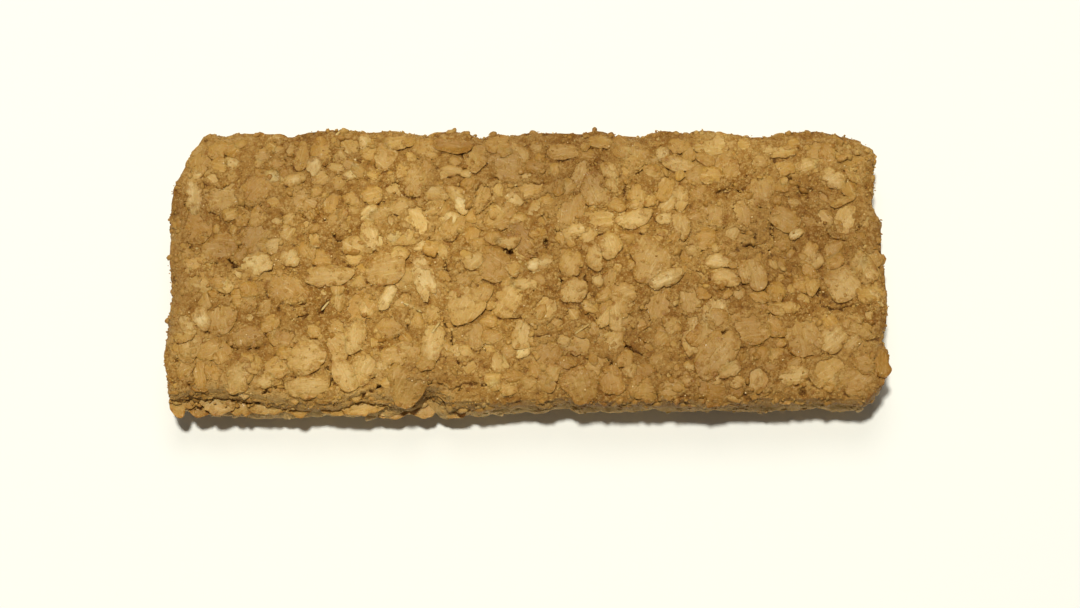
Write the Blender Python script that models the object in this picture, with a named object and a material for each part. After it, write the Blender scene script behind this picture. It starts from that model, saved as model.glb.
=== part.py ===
"""Crunchy oat bar: one pressed and baked slab of rolled oats bound with syrup.

The slab is a grid sheet that is shaped into the worn rectangle seen from above,
lifted into flakes and hollows on its top, and walled down to a flat underside.
+X runs along the bar, +Y across it, +Z up. The origin is under the middle of the bar.
"""
import math

import bmesh
import bpy
import numpy as np
from mathutils import Vector, noise

# Driving dimensions, in metres
LENGTH = 0.0920
WIDTH = 0.0378
HEIGHT = 0.0095

MM = 0.001
SEED = 41

# Grid of the top sheet
CELLS_LONG = 74
CELLS_WIDE = 29

# Corners: side along X, side along Y, reach in X, reach in Y (mm), roundness (0 chamfer, 1 arc)
CORNERS = (
    (-1, 1, 4.5, 8.0, 0.25),
    (1, 1, 7.0, 3.4, 0.55),
    (-1, -1, 1.6, 1.6, 1.0),
    (1, -1, 3.4, 4.4, 0.7),
)

# How the edges wear and crumble
EDGE_ROOM = 0.30 * MM
EDGE_REACH = 4.5 * MM
EDGE_ROUGHNESS = 0.20 * MM
EDGE_LUMP_LENGTH = 5.2 * MM
EDGE_CRUMB_LENGTH = 1.9 * MM
EDGE_CRUMB_SHARE = 0.8
LUMP_SPREAD = 1.6

# Lumps and bites along the four edges: place along the edge, half width, how far it stands out (mm)
BACK_EDGE = ((-39.2, 0.8, -0.5), (-30.7, 1.0, -0.6), (-25.5, 4.0, 0.4), (-17.6, 1.5, 0.5), (-12.9, 0.8, -0.7),
             (-9.6, 2.2, 0.2), (-6.0, 0.9, -1.0), (-2.1, 0.9, -0.7), (9.2, 1.3, 0.6), (12.7, 0.8, -0.8),
             (14.9, 0.6, -0.6), (17.3, 1.6, 0.3), (22.9, 1.7, 0.5), (30.4, 2.0, -0.6), (36.8, 2.5, 0.2))
FRONT_EDGE = ((-39.5, 5.5, -1.0), (-28.0, 4.0, 0.2), (-20.5, 2.0, -0.5), (-12.2, 1.5, -1.6), (-5.0, 4.0, 0.3),
              (4.7, 1.1, -0.6), (13.0, 5.0, 0.3), (36.0, 5.0, -0.2))
LEFT_EDGE = ((6.0, 4.0, 0.25), (-4.1, 1.3, -0.5), (-11.6, 1.8, 0.3), (-16.4, 1.6, -0.5))
RIGHT_EDGE = ((13.0, 2.0, -0.8), (8.8, 2.0, -1.1), (-3.8, 3.5, 0.4), (-10.1, 0.7, -0.8), (-12.6, 1.6, 0.35),
              (-15.6, 1.2, -0.4))

# Top surface
BED_HEIGHT = HEIGHT - 0.9 * MM
RIM_DROP = 0.9 * MM
RIM_REACH = 2.6 * MM
SWELL = 0.30 * MM
SWELL_LENGTH = 14.0 * MM
GRIT = 0.16 * MM
GRIT_LENGTH = 2.3 * MM

# Large flakes on the top: x, y, half length, half width (mm), turn (degrees), rise (mm)
LARGE_FLAKES = (
    (24.3, -11.8, 4.2, 2.7, 52, 0.55),
    (16.6, -0.2, 3.6, 2.9, 35, 0.75),
    (9.6, 0.4, 2.6, 2.2, 80, 0.50),
    (6.0, -2.7, 2.4, 1.7, 70, 0.45),
    (-27.6, -11.9, 2.6, 2.4, 10, 0.60),
    (-17.6, -1.2, 3.2, 2.3, 15, 0.50),
    (-24.6, -1.9, 2.9, 1.6, 5, 0.40),
    (28.4, -2.2, 2.2, 2.8, 10, 0.50),
    (7.0, -15.6, 2.6, 2.6, 100, 0.50),
    (-14.6, -16.2, 2.6, 2.2, 60, 0.50),
    (-36.5, -15.0, 3.6, 1.6, 60, 0.45),
    (38.4, -8.8, 2.2, 2.4, 40, 0.40),
)
SMALL_FLAKES = 120
SMALL_FLAKE_LENGTH = (3.4 * MM, 6.8 * MM)
SMALL_FLAKE_ROUNDNESS = (0.6, 0.85)
SMALL_FLAKE_RISE = (0.15 * MM, 0.45 * MM)
FLAKE_RIM = 1.15
FLAKE_SHOULDER = 0.35
FLAKE_TIP = 0.25

# Cracks and pits on the top: x, y, half length, half width (mm), turn (degrees), depth (mm)
HOLLOWS = (
    (12.0, -9.5, 3.4, 0.7, -38, 0.55),
    (26.3, 10.0, 2.4, 0.7, 5, 0.55),
    (-37.4, -0.2, 1.7, 0.9, 0, 0.60),
    (-2.3, 1.9, 1.2, 0.7, -10, 0.50),
    (2.5, 2.4, 0.8, 1.1, 10, 0.60),
    (29.7, 2.1, 1.7, 0.8, -15, 0.55),
    (17.5, -3.2, 2.4, 0.6, 12, 0.45),
    (-20.8, -16.3, 2.3, 0.7, 25, 0.80),
    (-31.5, -15.7, 1.7, 0.7, 25, 0.50),
    (-10.2, 0.0, 0.9, 0.8, 0, 0.50),
)
HOLLOW_RIM = 1.3

# Wall courses from the top rim down: share of the rim's height, how far it draws in (mm)
WALL_COURSES = ((0.93, -0.10), (0.84, 0.0), (0.73, 0.25), (0.60, 0.0),
                (0.41, -0.20), (0.29, 0.0), (0.14, 0.0), (0.0, 0.20))
STRATA_DEPTH = 0.32 * MM
STRATA_OUT = 0.12 * MM
STRATA_LENGTH = 4.5 * MM
FINE_STRATA_LENGTH = 1.8 * MM
FINE_STRATA_SHARE = 0.6
LAYERS = 11.0
FINE_LAYERS = 23.0

# A point this near a long side lies on it; past the second distance it belongs to an end
SIDE_BAND = 3.0 * MM
SIDE_BLEND = 6.0 * MM

# The right half of the front leans in towards its foot
LEAN = 0.8 * MM
LEAN_FROM = -6.0 * MM
LEAN_FULL = 10.0 * MM

# The lower part of the wall draws in further: most at the front, less on the other sides
UNDERCUT_SHARE = 0.40
UNDERCUT_POWER = 0.6
FRONT_UNDERCUT = 1.8 * MM
SIDE_UNDERCUT = 0.8 * MM

# The splits run along the sides at this share of the rim's height, within this band above and below it
SPLIT_HEIGHT = 0.73
SPLIT_BAND = 0.12

# Splits under the top crust: place along the side, half width, depth (mm)
FRONT_SPLITS = ((-38.5, 6.5, 1.1), (-20.5, 3.5, 0.9), (-11.8, 2.2, 0.8), (4.6, 1.6, 0.6), (38.5, 4.5, 0.7))
BACK_SPLITS = ((-9.6, 3.0, 0.8), (27.0, 6.0, 0.6))

# Ledges, where the layers under the split stand out past the worn crust: place, half width, how far (mm)
FRONT_LEDGES = ((-37.0, 10.0, 1.4), (-19.8, 5.0, 0.8), (-11.4, 2.4, 1.4))


def bump(distance, half_width):
    """A smooth hump that is 1 at its middle and 0 at its half width."""
    share = min(abs(distance) / half_width, 1.0)
    return (1.0 - share * share) ** 2


def wear(profile, place, seed):
    """How far an edge stands out at a place along it: the listed lumps, and a crumbly line."""
    lumps = sum(out * bump(place - at * MM, LUMP_SPREAD * half * MM) for at, half, out in profile)
    coarse = noise.noise(Vector((place / EDGE_LUMP_LENGTH, seed, 0.0)))
    fine = noise.noise(Vector((place / EDGE_CRUMB_LENGTH, seed, 7.0)))
    return lumps * MM + EDGE_ROUGHNESS * (coarse + EDGE_CRUMB_SHARE * fine)


def round_corners(x, y):
    """Fold the square corners of the rectangle into arcs and chamfers."""
    for side_x, side_y, reach_x, reach_y, roundness in CORNERS:
        centre_x = side_x * (LENGTH / 2 - reach_x * MM)
        centre_y = side_y * (WIDTH / 2 - reach_y * MM)
        a = (x - centre_x) * side_x / (reach_x * MM)
        b = (y - centre_y) * side_y / (reach_y * MM)
        if a <= 0.0 or b <= 0.0:
            continue
        a = min(a, 1.0)
        b = min(b, 1.0)
        arc_a = a * math.sqrt(1.0 - b * b / 2)
        arc_b = b * math.sqrt(1.0 - a * a / 2)
        flat_a = a * (1.0 - b / 2)
        flat_b = b * (1.0 - a / 2)
        a = flat_a + (arc_a - flat_a) * roundness
        b = flat_b + (arc_b - flat_b) * roundness
        return centre_x + side_x * a * reach_x * MM, centre_y + side_y * b * reach_y * MM
    return x, y


def near_edge(gap):
    """1 on an edge, falling smoothly to 0 at the reach of its wear."""
    share = max(0.0, 1.0 - gap / EDGE_REACH)
    return share * share * (3.0 - 2.0 * share)


def worn_place(x, y):
    """Where a point of the plain rectangle lies on the worn slab."""
    gap_x = LENGTH / 2 - abs(x)
    gap_y = WIDTH / 2 - abs(y)
    profile_y, seed_y = (BACK_EDGE, 1.3) if y > 0 else (FRONT_EDGE, 4.7)
    profile_x, seed_x = (RIGHT_EDGE, 8.9) if x > 0 else (LEFT_EDGE, 12.1)
    side_x = math.copysign(1.0, x)
    side_y = math.copysign(1.0, y)
    shift_x = side_x * (wear(profile_x, y, seed_x) - EDGE_ROOM) * near_edge(gap_x)
    shift_y = side_y * (wear(profile_y, x, seed_y) - EDGE_ROOM) * near_edge(gap_y)
    x, y = round_corners(x, y)
    return x + shift_x, y + shift_y


def patch(x, y, spot):
    """Place of a point inside an oval patch: 0 at its middle and 1 on its rim."""
    at_x, at_y, half_length, half_width, turn = spot[:5]
    angle = math.radians(turn)
    dx = x - at_x * MM
    dy = y - at_y * MM
    along = (dx * math.cos(angle) + dy * math.sin(angle)) / (half_length * MM)
    across = (dy * math.cos(angle) - dx * math.sin(angle)) / (half_width * MM)
    return along, across


def flake_lift(x, y, flakes):
    """Height of the highest flake over a point; each is a plate that tips a little along its length."""
    lift = 0.0
    for flake in flakes:
        along, across = patch(x, y, flake)
        radius = math.hypot(along, across)
        if radius >= FLAKE_RIM:
            continue
        shoulder = min(1.0, (FLAKE_RIM - radius) / FLAKE_SHOULDER)
        plate = flake[5] * MM * (1.0 - FLAKE_TIP + FLAKE_TIP * along)
        lift = max(lift, plate * shoulder * shoulder * (3.0 - 2.0 * shoulder))
    return lift


def hollow_depth(x, y):
    """Depth of the cracks and pits at a point."""
    depth = 0.0
    for hollow in HOLLOWS:
        along, across = patch(x, y, hollow)
        depth = max(depth, hollow[5] * MM * bump(math.hypot(along, across), HOLLOW_RIM))
    return depth


def small_flakes():
    """Flakes scattered over the top, the same ones each time."""
    chance = np.random.default_rng(SEED)
    flakes = []
    for _ in range(SMALL_FLAKES):
        x = chance.uniform(-LENGTH / 2, LENGTH / 2) / MM
        y = chance.uniform(-WIDTH / 2, WIDTH / 2) / MM
        half_length = chance.uniform(*SMALL_FLAKE_LENGTH) / 2 / MM
        half_width = half_length * chance.uniform(*SMALL_FLAKE_ROUNDNESS)
        turn = chance.uniform(0, 180)
        rise = chance.uniform(*SMALL_FLAKE_RISE) / MM
        flakes.append((x, y, half_length, half_width, turn, rise))
    return flakes


def top_height(x, y, rim_gap, flakes):
    """Height of the top at a point of the slab."""
    swell = SWELL * noise.noise(Vector((x, y, 0.03)) / SWELL_LENGTH)
    grit = GRIT * noise.noise(Vector((x, y, 0.06)) / GRIT_LENGTH)
    share = max(0.0, 1.0 - rim_gap / RIM_REACH)
    height = BED_HEIGHT - RIM_DROP * share * share
    return height + swell + grit + flake_lift(x, y, flakes) - hollow_depth(x, y)


def shape_top(sheet):
    """Move the flat grid's points to the worn outline and lift them to the flaky top."""
    flakes = list(LARGE_FLAKES) + small_flakes()
    for vert in sheet.verts:
        x, y = vert.co.x * LENGTH, vert.co.y * WIDTH
        rim_gap = min(LENGTH / 2 - abs(x), WIDTH / 2 - abs(y))
        x, y = worn_place(x, y)
        vert.co = (x, y, top_height(x, y, rim_gap, flakes))


def open_edges(sheet):
    return [edge for edge in sheet.edges if edge.is_boundary]


def rim_loop(sheet):
    """The rim's points in order, anticlockwise from above."""
    start = open_edges(sheet)[0]
    loop = [start.verts[0], start.verts[1]]
    while True:
        last = loop[-1]
        steps = [edge.other_vert(last) for edge in last.link_edges if edge.is_boundary]
        following = next(vert for vert in steps if vert is not loop[-2])
        if following is loop[0]:
            break
        loop.append(following)
    area = sum(a.co.x * b.co.y - b.co.x * a.co.y for a, b in zip(loop, loop[1:] + loop[:1]))
    return loop if area > 0 else loop[::-1]


def inward_directions(loop, reach=3):
    """Level direction into the slab at each point of the rim, from its neighbours some points away."""
    count = len(loop)
    directions = {}
    for index, vert in enumerate(loop):
        tangent = loop[(index + reach) % count].co - loop[index - reach].co
        directions[vert] = Vector((-tangent.y, tangent.x, 0.0)).normalized()
    return directions


def on_long_side(place):
    return abs(place.y) > WIDTH / 2 - SIDE_BAND


def split_depth(place, share):
    """Depth of the splits between the top crust and the layers under it."""
    if not on_long_side(place):
        return 0.0
    splits = FRONT_SPLITS if place.y < 0 else BACK_SPLITS
    depth = max(deep * bump(place.x - at * MM, half * MM) for at, half, deep in splits)
    return depth * MM * bump(share - SPLIT_HEIGHT, SPLIT_BAND)


def ledge(place, share):
    """How far the layers under the split stand out on the front side."""
    if place.y > 0 or not on_long_side(place) or share > SPLIT_HEIGHT - SPLIT_BAND:
        return 0.0
    out = max(far * bump(place.x - at * MM, half * MM) for at, half, far in FRONT_LEDGES)
    return out * MM


def strata(place, share):
    """Uneven in and out of the layers that show on the wall: long along it, thin from top to bottom."""
    layered = noise.noise(Vector((place.x / STRATA_LENGTH, place.y / STRATA_LENGTH, LAYERS * share)))
    fine = noise.noise(Vector((place.x / FINE_STRATA_LENGTH, place.y / FINE_STRATA_LENGTH, FINE_LAYERS * share)))
    return max(STRATA_DEPTH * (layered + FINE_STRATA_SHARE * fine), -STRATA_OUT)


def lean(place, share):
    """How far the foot of the front is set back, from nothing at the left to the full lean at the right."""
    if place.y > 0 or not on_long_side(place):
        return 0.0
    along = min(max((place.x - LEAN_FROM) / (LEAN_FULL - LEAN_FROM), 0.0), 1.0)
    return LEAN * along * (1.0 - share)


def undercut(place, share):
    """How far the lower part of the wall draws in, blending from the front's amount to the sides' at the corners."""
    below = max(0.0, 1.0 - share / UNDERCUT_SHARE)
    from_front = place.y + WIDTH / 2
    front = min(max((SIDE_BLEND - from_front) / (SIDE_BLEND - SIDE_BAND), 0.0), 1.0)
    deepest = SIDE_UNDERCUT + (FRONT_UNDERCUT - SIDE_UNDERCUT) * front
    return deepest * below ** UNDERCUT_POWER


def build_wall(sheet):
    """Extrude the rim down in courses, and close it with one flat face to rest on."""
    loop = rim_loop(sheet)
    inward = inward_directions(loop)
    course = {vert: (vert.co.copy(), inward[vert]) for vert in loop}
    edges = open_edges(sheet)
    for share, draw_in in WALL_COURSES:
        made = bmesh.ops.extrude_edge_only(sheet, edges=edges)["geom"]
        edges = [item for item in made if isinstance(item, bmesh.types.BMEdge) and item.is_boundary]
        lower = {}
        for vert in {vert for edge in edges for vert in edge.verts}:
            above = next(edge.other_vert(vert) for edge in vert.link_edges if edge.other_vert(vert) in course)
            rim, direction = course[above]
            inset = draw_in * MM + strata(rim, share) + split_depth(rim, share)
            inset += lean(rim, share) + undercut(rim, share) - ledge(rim, share)
            vert.co = rim + direction * inset
            vert.co.z = rim.z * share
            lower[vert] = (rim, direction)
        course = lower
    bmesh.ops.edgeloop_fill(sheet, edges=edges)


def centre_on_box(sheet):
    """Slide and scale the slab so its box is exactly the driving dimensions, centred over the origin."""
    places = np.array([vert.co for vert in sheet.verts])
    low, high = places.min(axis=0), places.max(axis=0)
    size = (LENGTH, WIDTH, HEIGHT) / (high - low)
    middle = (low + high) / 2
    middle[2] = 0.0
    for vert in sheet.verts:
        vert.co = (np.array(vert.co) - middle) * size


def baked_oat_material():
    material = bpy.data.materials.new("baked_oats")
    material.use_nodes = True
    shader = material.node_tree.nodes["Principled BSDF"]
    shader.inputs["Base Color"].default_value = (0.42, 0.23, 0.06, 1.0)
    shader.inputs["Roughness"].default_value = 0.6
    material.diffuse_color = (0.67, 0.51, 0.26, 1.0)
    return material


def granola_bar():
    sheet = bmesh.new()
    bmesh.ops.create_grid(sheet, x_segments=CELLS_LONG, y_segments=CELLS_WIDE, size=0.5)
    shape_top(sheet)
    build_wall(sheet)
    centre_on_box(sheet)
    bmesh.ops.recalc_face_normals(sheet, faces=sheet.faces)
    mesh = bpy.data.meshes.new("granola_bar")
    sheet.to_mesh(mesh)
    sheet.free()
    mesh.shade_smooth()
    mesh.materials.append(baked_oat_material())
    bar = bpy.data.objects.new("granola_bar", mesh)
    bpy.context.scene.collection.objects.link(bar)
    return bar


def main():
    for thing in list(bpy.data.objects):
        bpy.data.objects.remove(thing)
    granola_bar()


main()
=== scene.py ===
"""Looks of the oat bar: a crumbly baked core, which replaces the CAD solid, with flakes, crumbs and sugar.

Lengths are in metres, and MM turns millimetres into metres. The bar lies along X. The camera looks down
from above, a little from the -Y side, which is called the front.
"""
import math

import bmesh
import bpy
import numpy as np
from mathutils import Matrix, Vector, noise
from mathutils.bvhtree import BVHTree


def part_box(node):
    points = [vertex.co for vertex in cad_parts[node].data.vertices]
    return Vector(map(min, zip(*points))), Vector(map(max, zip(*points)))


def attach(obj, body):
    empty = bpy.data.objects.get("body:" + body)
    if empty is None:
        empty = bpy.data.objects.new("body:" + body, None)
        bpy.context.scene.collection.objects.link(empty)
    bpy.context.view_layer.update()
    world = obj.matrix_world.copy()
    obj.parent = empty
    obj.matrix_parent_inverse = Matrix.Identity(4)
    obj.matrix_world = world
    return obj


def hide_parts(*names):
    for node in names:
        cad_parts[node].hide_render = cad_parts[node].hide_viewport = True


MM = 0.001
BODY = "root"
NODE = "granola_bar"

# Core
VOXEL = 0.46 * MM
CORE_SMOOTHING = 8
CORE_INSET = 0.02 * MM
WALL_INSET = 0.18 * MM
FLOOR_GAP = 0.06 * MM
FRONT_STANDOUT = 0.45 * MM

# Relief of the baked paste between the flakes: height and size of each kind of lump
SWELL = 0.34 * MM
SWELL_SIZE = 6.0 * MM
LUMP = 0.22 * MM
LUMP_SIZE = 1.15 * MM
GRAIN = 0.20 * MM
GRAIN_SIZE = 0.62 * MM
GRIT = 0.12 * MM
GRIT_SIZE = 0.45 * MM
PITS = 170
PIT_RADIUS = (0.18 * MM, 0.42 * MM)
PIT_DEPTH = (0.25 * MM, 0.75 * MM)
WARP = 0.45 * MM
WARP_SIZE = 1.3 * MM
CAVITY_RANGE = 0.22 * MM
UNDER_RELIEF = 0.6
UNDER_SINK = 0.14 * MM

# The core takes a bed's relief above or below these heights
TOP_FROM = 5.5 * MM
UNDER_TO = 2.0 * MM

# Relief of the wall: pressed layers, lumps and grains
WALL_LAYER = 0.26 * MM
WALL_LAYER_SIZE = 3.0 * MM
WALL_LAYERING = (1.0, 1.0, 3.5)
WALL_LUMP = 0.32 * MM
WALL_LUMP_SIZE = 1.3 * MM
WALL_LUMP_SHAPE = (1.0, 1.0, 1.5)
WALL_GRAIN = 0.14 * MM
WALL_GRAIN_SIZE = 0.95 * MM
WALL_WARP = 0.4 * MM
WALL_WARP_SIZE = 1.6 * MM

# Grid of the height maps
CELL = 0.18 * MM
NOISE_TILE = 97

# Flakes
WHOLE_LENGTH = (4.2 * MM, 6.6 * MM)
BROKEN_LENGTH = (1.6 * MM, 3.8 * MM)
WALL_LENGTH = (2.4 * MM, 5.6 * MM)
FLAKE_THICKNESS = (0.40 * MM, 0.55 * MM)
RIM_THICKNESS = 0.34
FLAKE_ROUNDNESS = (0.55, 0.88)
NOTCH_DEPTH = (0.10, 0.34)
NOTCH_WIDTH = (0.08, 0.22)
BREAK_SHARPNESS = 9.0
STEEPEST = 0.30
BED_STANDOUT = 0.60 * MM
WALL_STANDOUT = 0.45 * MM
WALL_REACH = (-0.15 * MM, 0.30 * MM)
WALL_TILT = 0.12
WALL_CEILING = 0.9 * MM
COVER_START = 0.62
COVER_SPREAD = 0.20
COVER_DEPTH = 0.10 * MM
SHOWN_COVER = 0.84
SHOWN_RISE = 0.95
GROOVE = 0.22 * MM
GROOVE_DEPTH = 0.7
GROOVE_SHARE = 0.50

PRESSED_WHOLE = 70
PRESSED_BROKEN = 300
UNDER_WHOLE = 130
UNDER_BROKEN = 420
WALL_FLAKES = 520
COARSE_CRUMBS = 1700
FINE_CRUMBS = 9000
SUGAR_GRAINS = 90

# Crumbs: share of all of their size, their radii, how far sunk and, in a bed, how many may lie on flakes
COARSE_ON_TOP = (0.40, (0.16 * MM, 0.40 * MM), 0.76, 0.05)
COARSE_UNDER = (0.15, (0.20 * MM, 0.42 * MM), 0.85, 0.0)
COARSE_ON_WALL = (0.45, (0.22 * MM, 0.62 * MM), 0.60)
FINE_ON_TOP = (0.62, (0.08 * MM, 0.20 * MM), 0.62, 0.07)
FINE_UNDER = (0.13, (0.10 * MM, 0.22 * MM), 0.75, 0.10)
FINE_ON_WALL = (0.25, (0.10 * MM, 0.30 * MM), 0.55)
STRAW_HALF_WIDTH = 0.16 * MM
STRAW_HALF_THICKNESS = 0.10 * MM
STRAW_LIFT = 0.04 * MM
LOOSE_STRAWS = 3
WALL_PALER = 0.14
CRUST_HEIGHT = 6.6 * MM
FOOT_HEIGHT = 4.0 * MM

# Cracks in the top crust: how the listed widths and depths are scaled, and where the cracks count as fine
CRACK_THINNER = 0.62
CRACK_DEEPER = 1.25
FINE_CRACK = 0.06 * MM
CRACK_WANDER = 0.34 * MM
CRACK_WANDER_SIZE = 0.9 * MM
FLAKE_FREE_CRACK = 0.3 * MM
CRUMB_FREE_CRACK = 0.2 * MM

# The cracks: (width, depth in mm), then points x, y in mm
CRACKS = (
    ((0.20, 0.9), ((7.6, -6.4), (8.6, -6.8), (9.1, -8.0), (10.1, -8.7), (11.6, -9.6), (12.6, -10.8),
                   (14.4, -12.0))),
    ((0.24, 0.9), ((24.6, 9.5), (25.8, 9.9), (27.6, 9.6))),
    ((0.20, 0.8), ((27.4, 2.6), (28.6, 2.2), (29.3, 2.9), (30.8, 2.0))),
    ((0.18, 0.7), ((29.3, 2.9), (29.0, 3.9))),
    ((0.20, 0.6), ((31.4, 3.4), (31.0, 5.6), (31.6, 7.4))),
    ((0.24, 0.8), ((33.6, 11.4), (35.0, 10.4), (36.4, 9.9))),
    ((0.24, 0.9), ((-37.9, 0.5), (-37.2, -0.1), (-36.2, -0.4), (-35.2, 0.2))),
    ((0.20, 0.6), ((-24.6, 3.6), (-23.4, 3.0), (-22.4, 3.3))),
    ((0.24, 0.9), ((-2.8, 1.9), (-1.6, 1.7))),
    ((0.26, 1.0), ((2.4, 3.2), (2.6, 2.2))),
    ((0.18, 0.6), ((4.3, -0.2), (4.2, -2.4), (5.4, -5.0))),
    ((0.20, 0.7), ((7.3, -1.6), (7.6, -2.6))),
    ((0.20, 0.6), ((0.9, -9.4), (3.6, -9.5))),
    ((0.18, 0.6), ((9.0, -12.2), (10.6, -12.8), (11.8, -16.4))),
    ((0.26, 1.1), ((-23.0, -18.2), (-21.4, -17.3), (-19.6, -16.6), (-18.2, -15.8))),
    ((0.20, 0.8), ((-33.4, -17.0), (-31.6, -16.2), (-29.8, -14.9), (-27.0, -15.1))),
    ((0.22, 0.7), ((-24.9, -13.8), (-24.4, -14.8), (-24.2, -15.8))),
    ((0.18, 0.8), ((-12.4, -15.6), (-11.2, -15.5), (-9.4, -16.5), (-7.2, -15.8), (-5.2, -15.9))),
    ((0.18, 0.6), ((36.9, -3.4), (37.4, -5.6), (39.8, -5.9), (43.0, -5.2))),
    ((0.18, 0.6), ((21.6, -1.0), (23.0, -2.1), (25.0, -3.0))),
    ((0.26, 0.8), ((43.2, -4.2), (45.0, -5.4))),
    ((0.22, 0.7), ((-30.9, -5.2), (-31.2, -6.2))),
    ((0.26, 0.8), ((-28.6, -6.9), (-27.6, -7.0))),
    ((0.20, 0.7), ((-10.6, 0.4), (-10.0, -1.0))),
    ((0.18, 0.6), ((-26.0, -6.4), (-25.0, -4.9))),
    ((0.20, 0.6), ((-20.0, 8.6), (-18.4, 8.1))),
    ((0.18, 0.6), ((12.4, 9.4), (12.8, 10.6))),
    ((0.20, 0.8), ((14.4, 4.0), (15.2, 3.6))),
    ((0.18, 0.6), ((-10.7, -7.2), (-9.4, -9.0), (-8.6, -13.0))),
)

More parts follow.
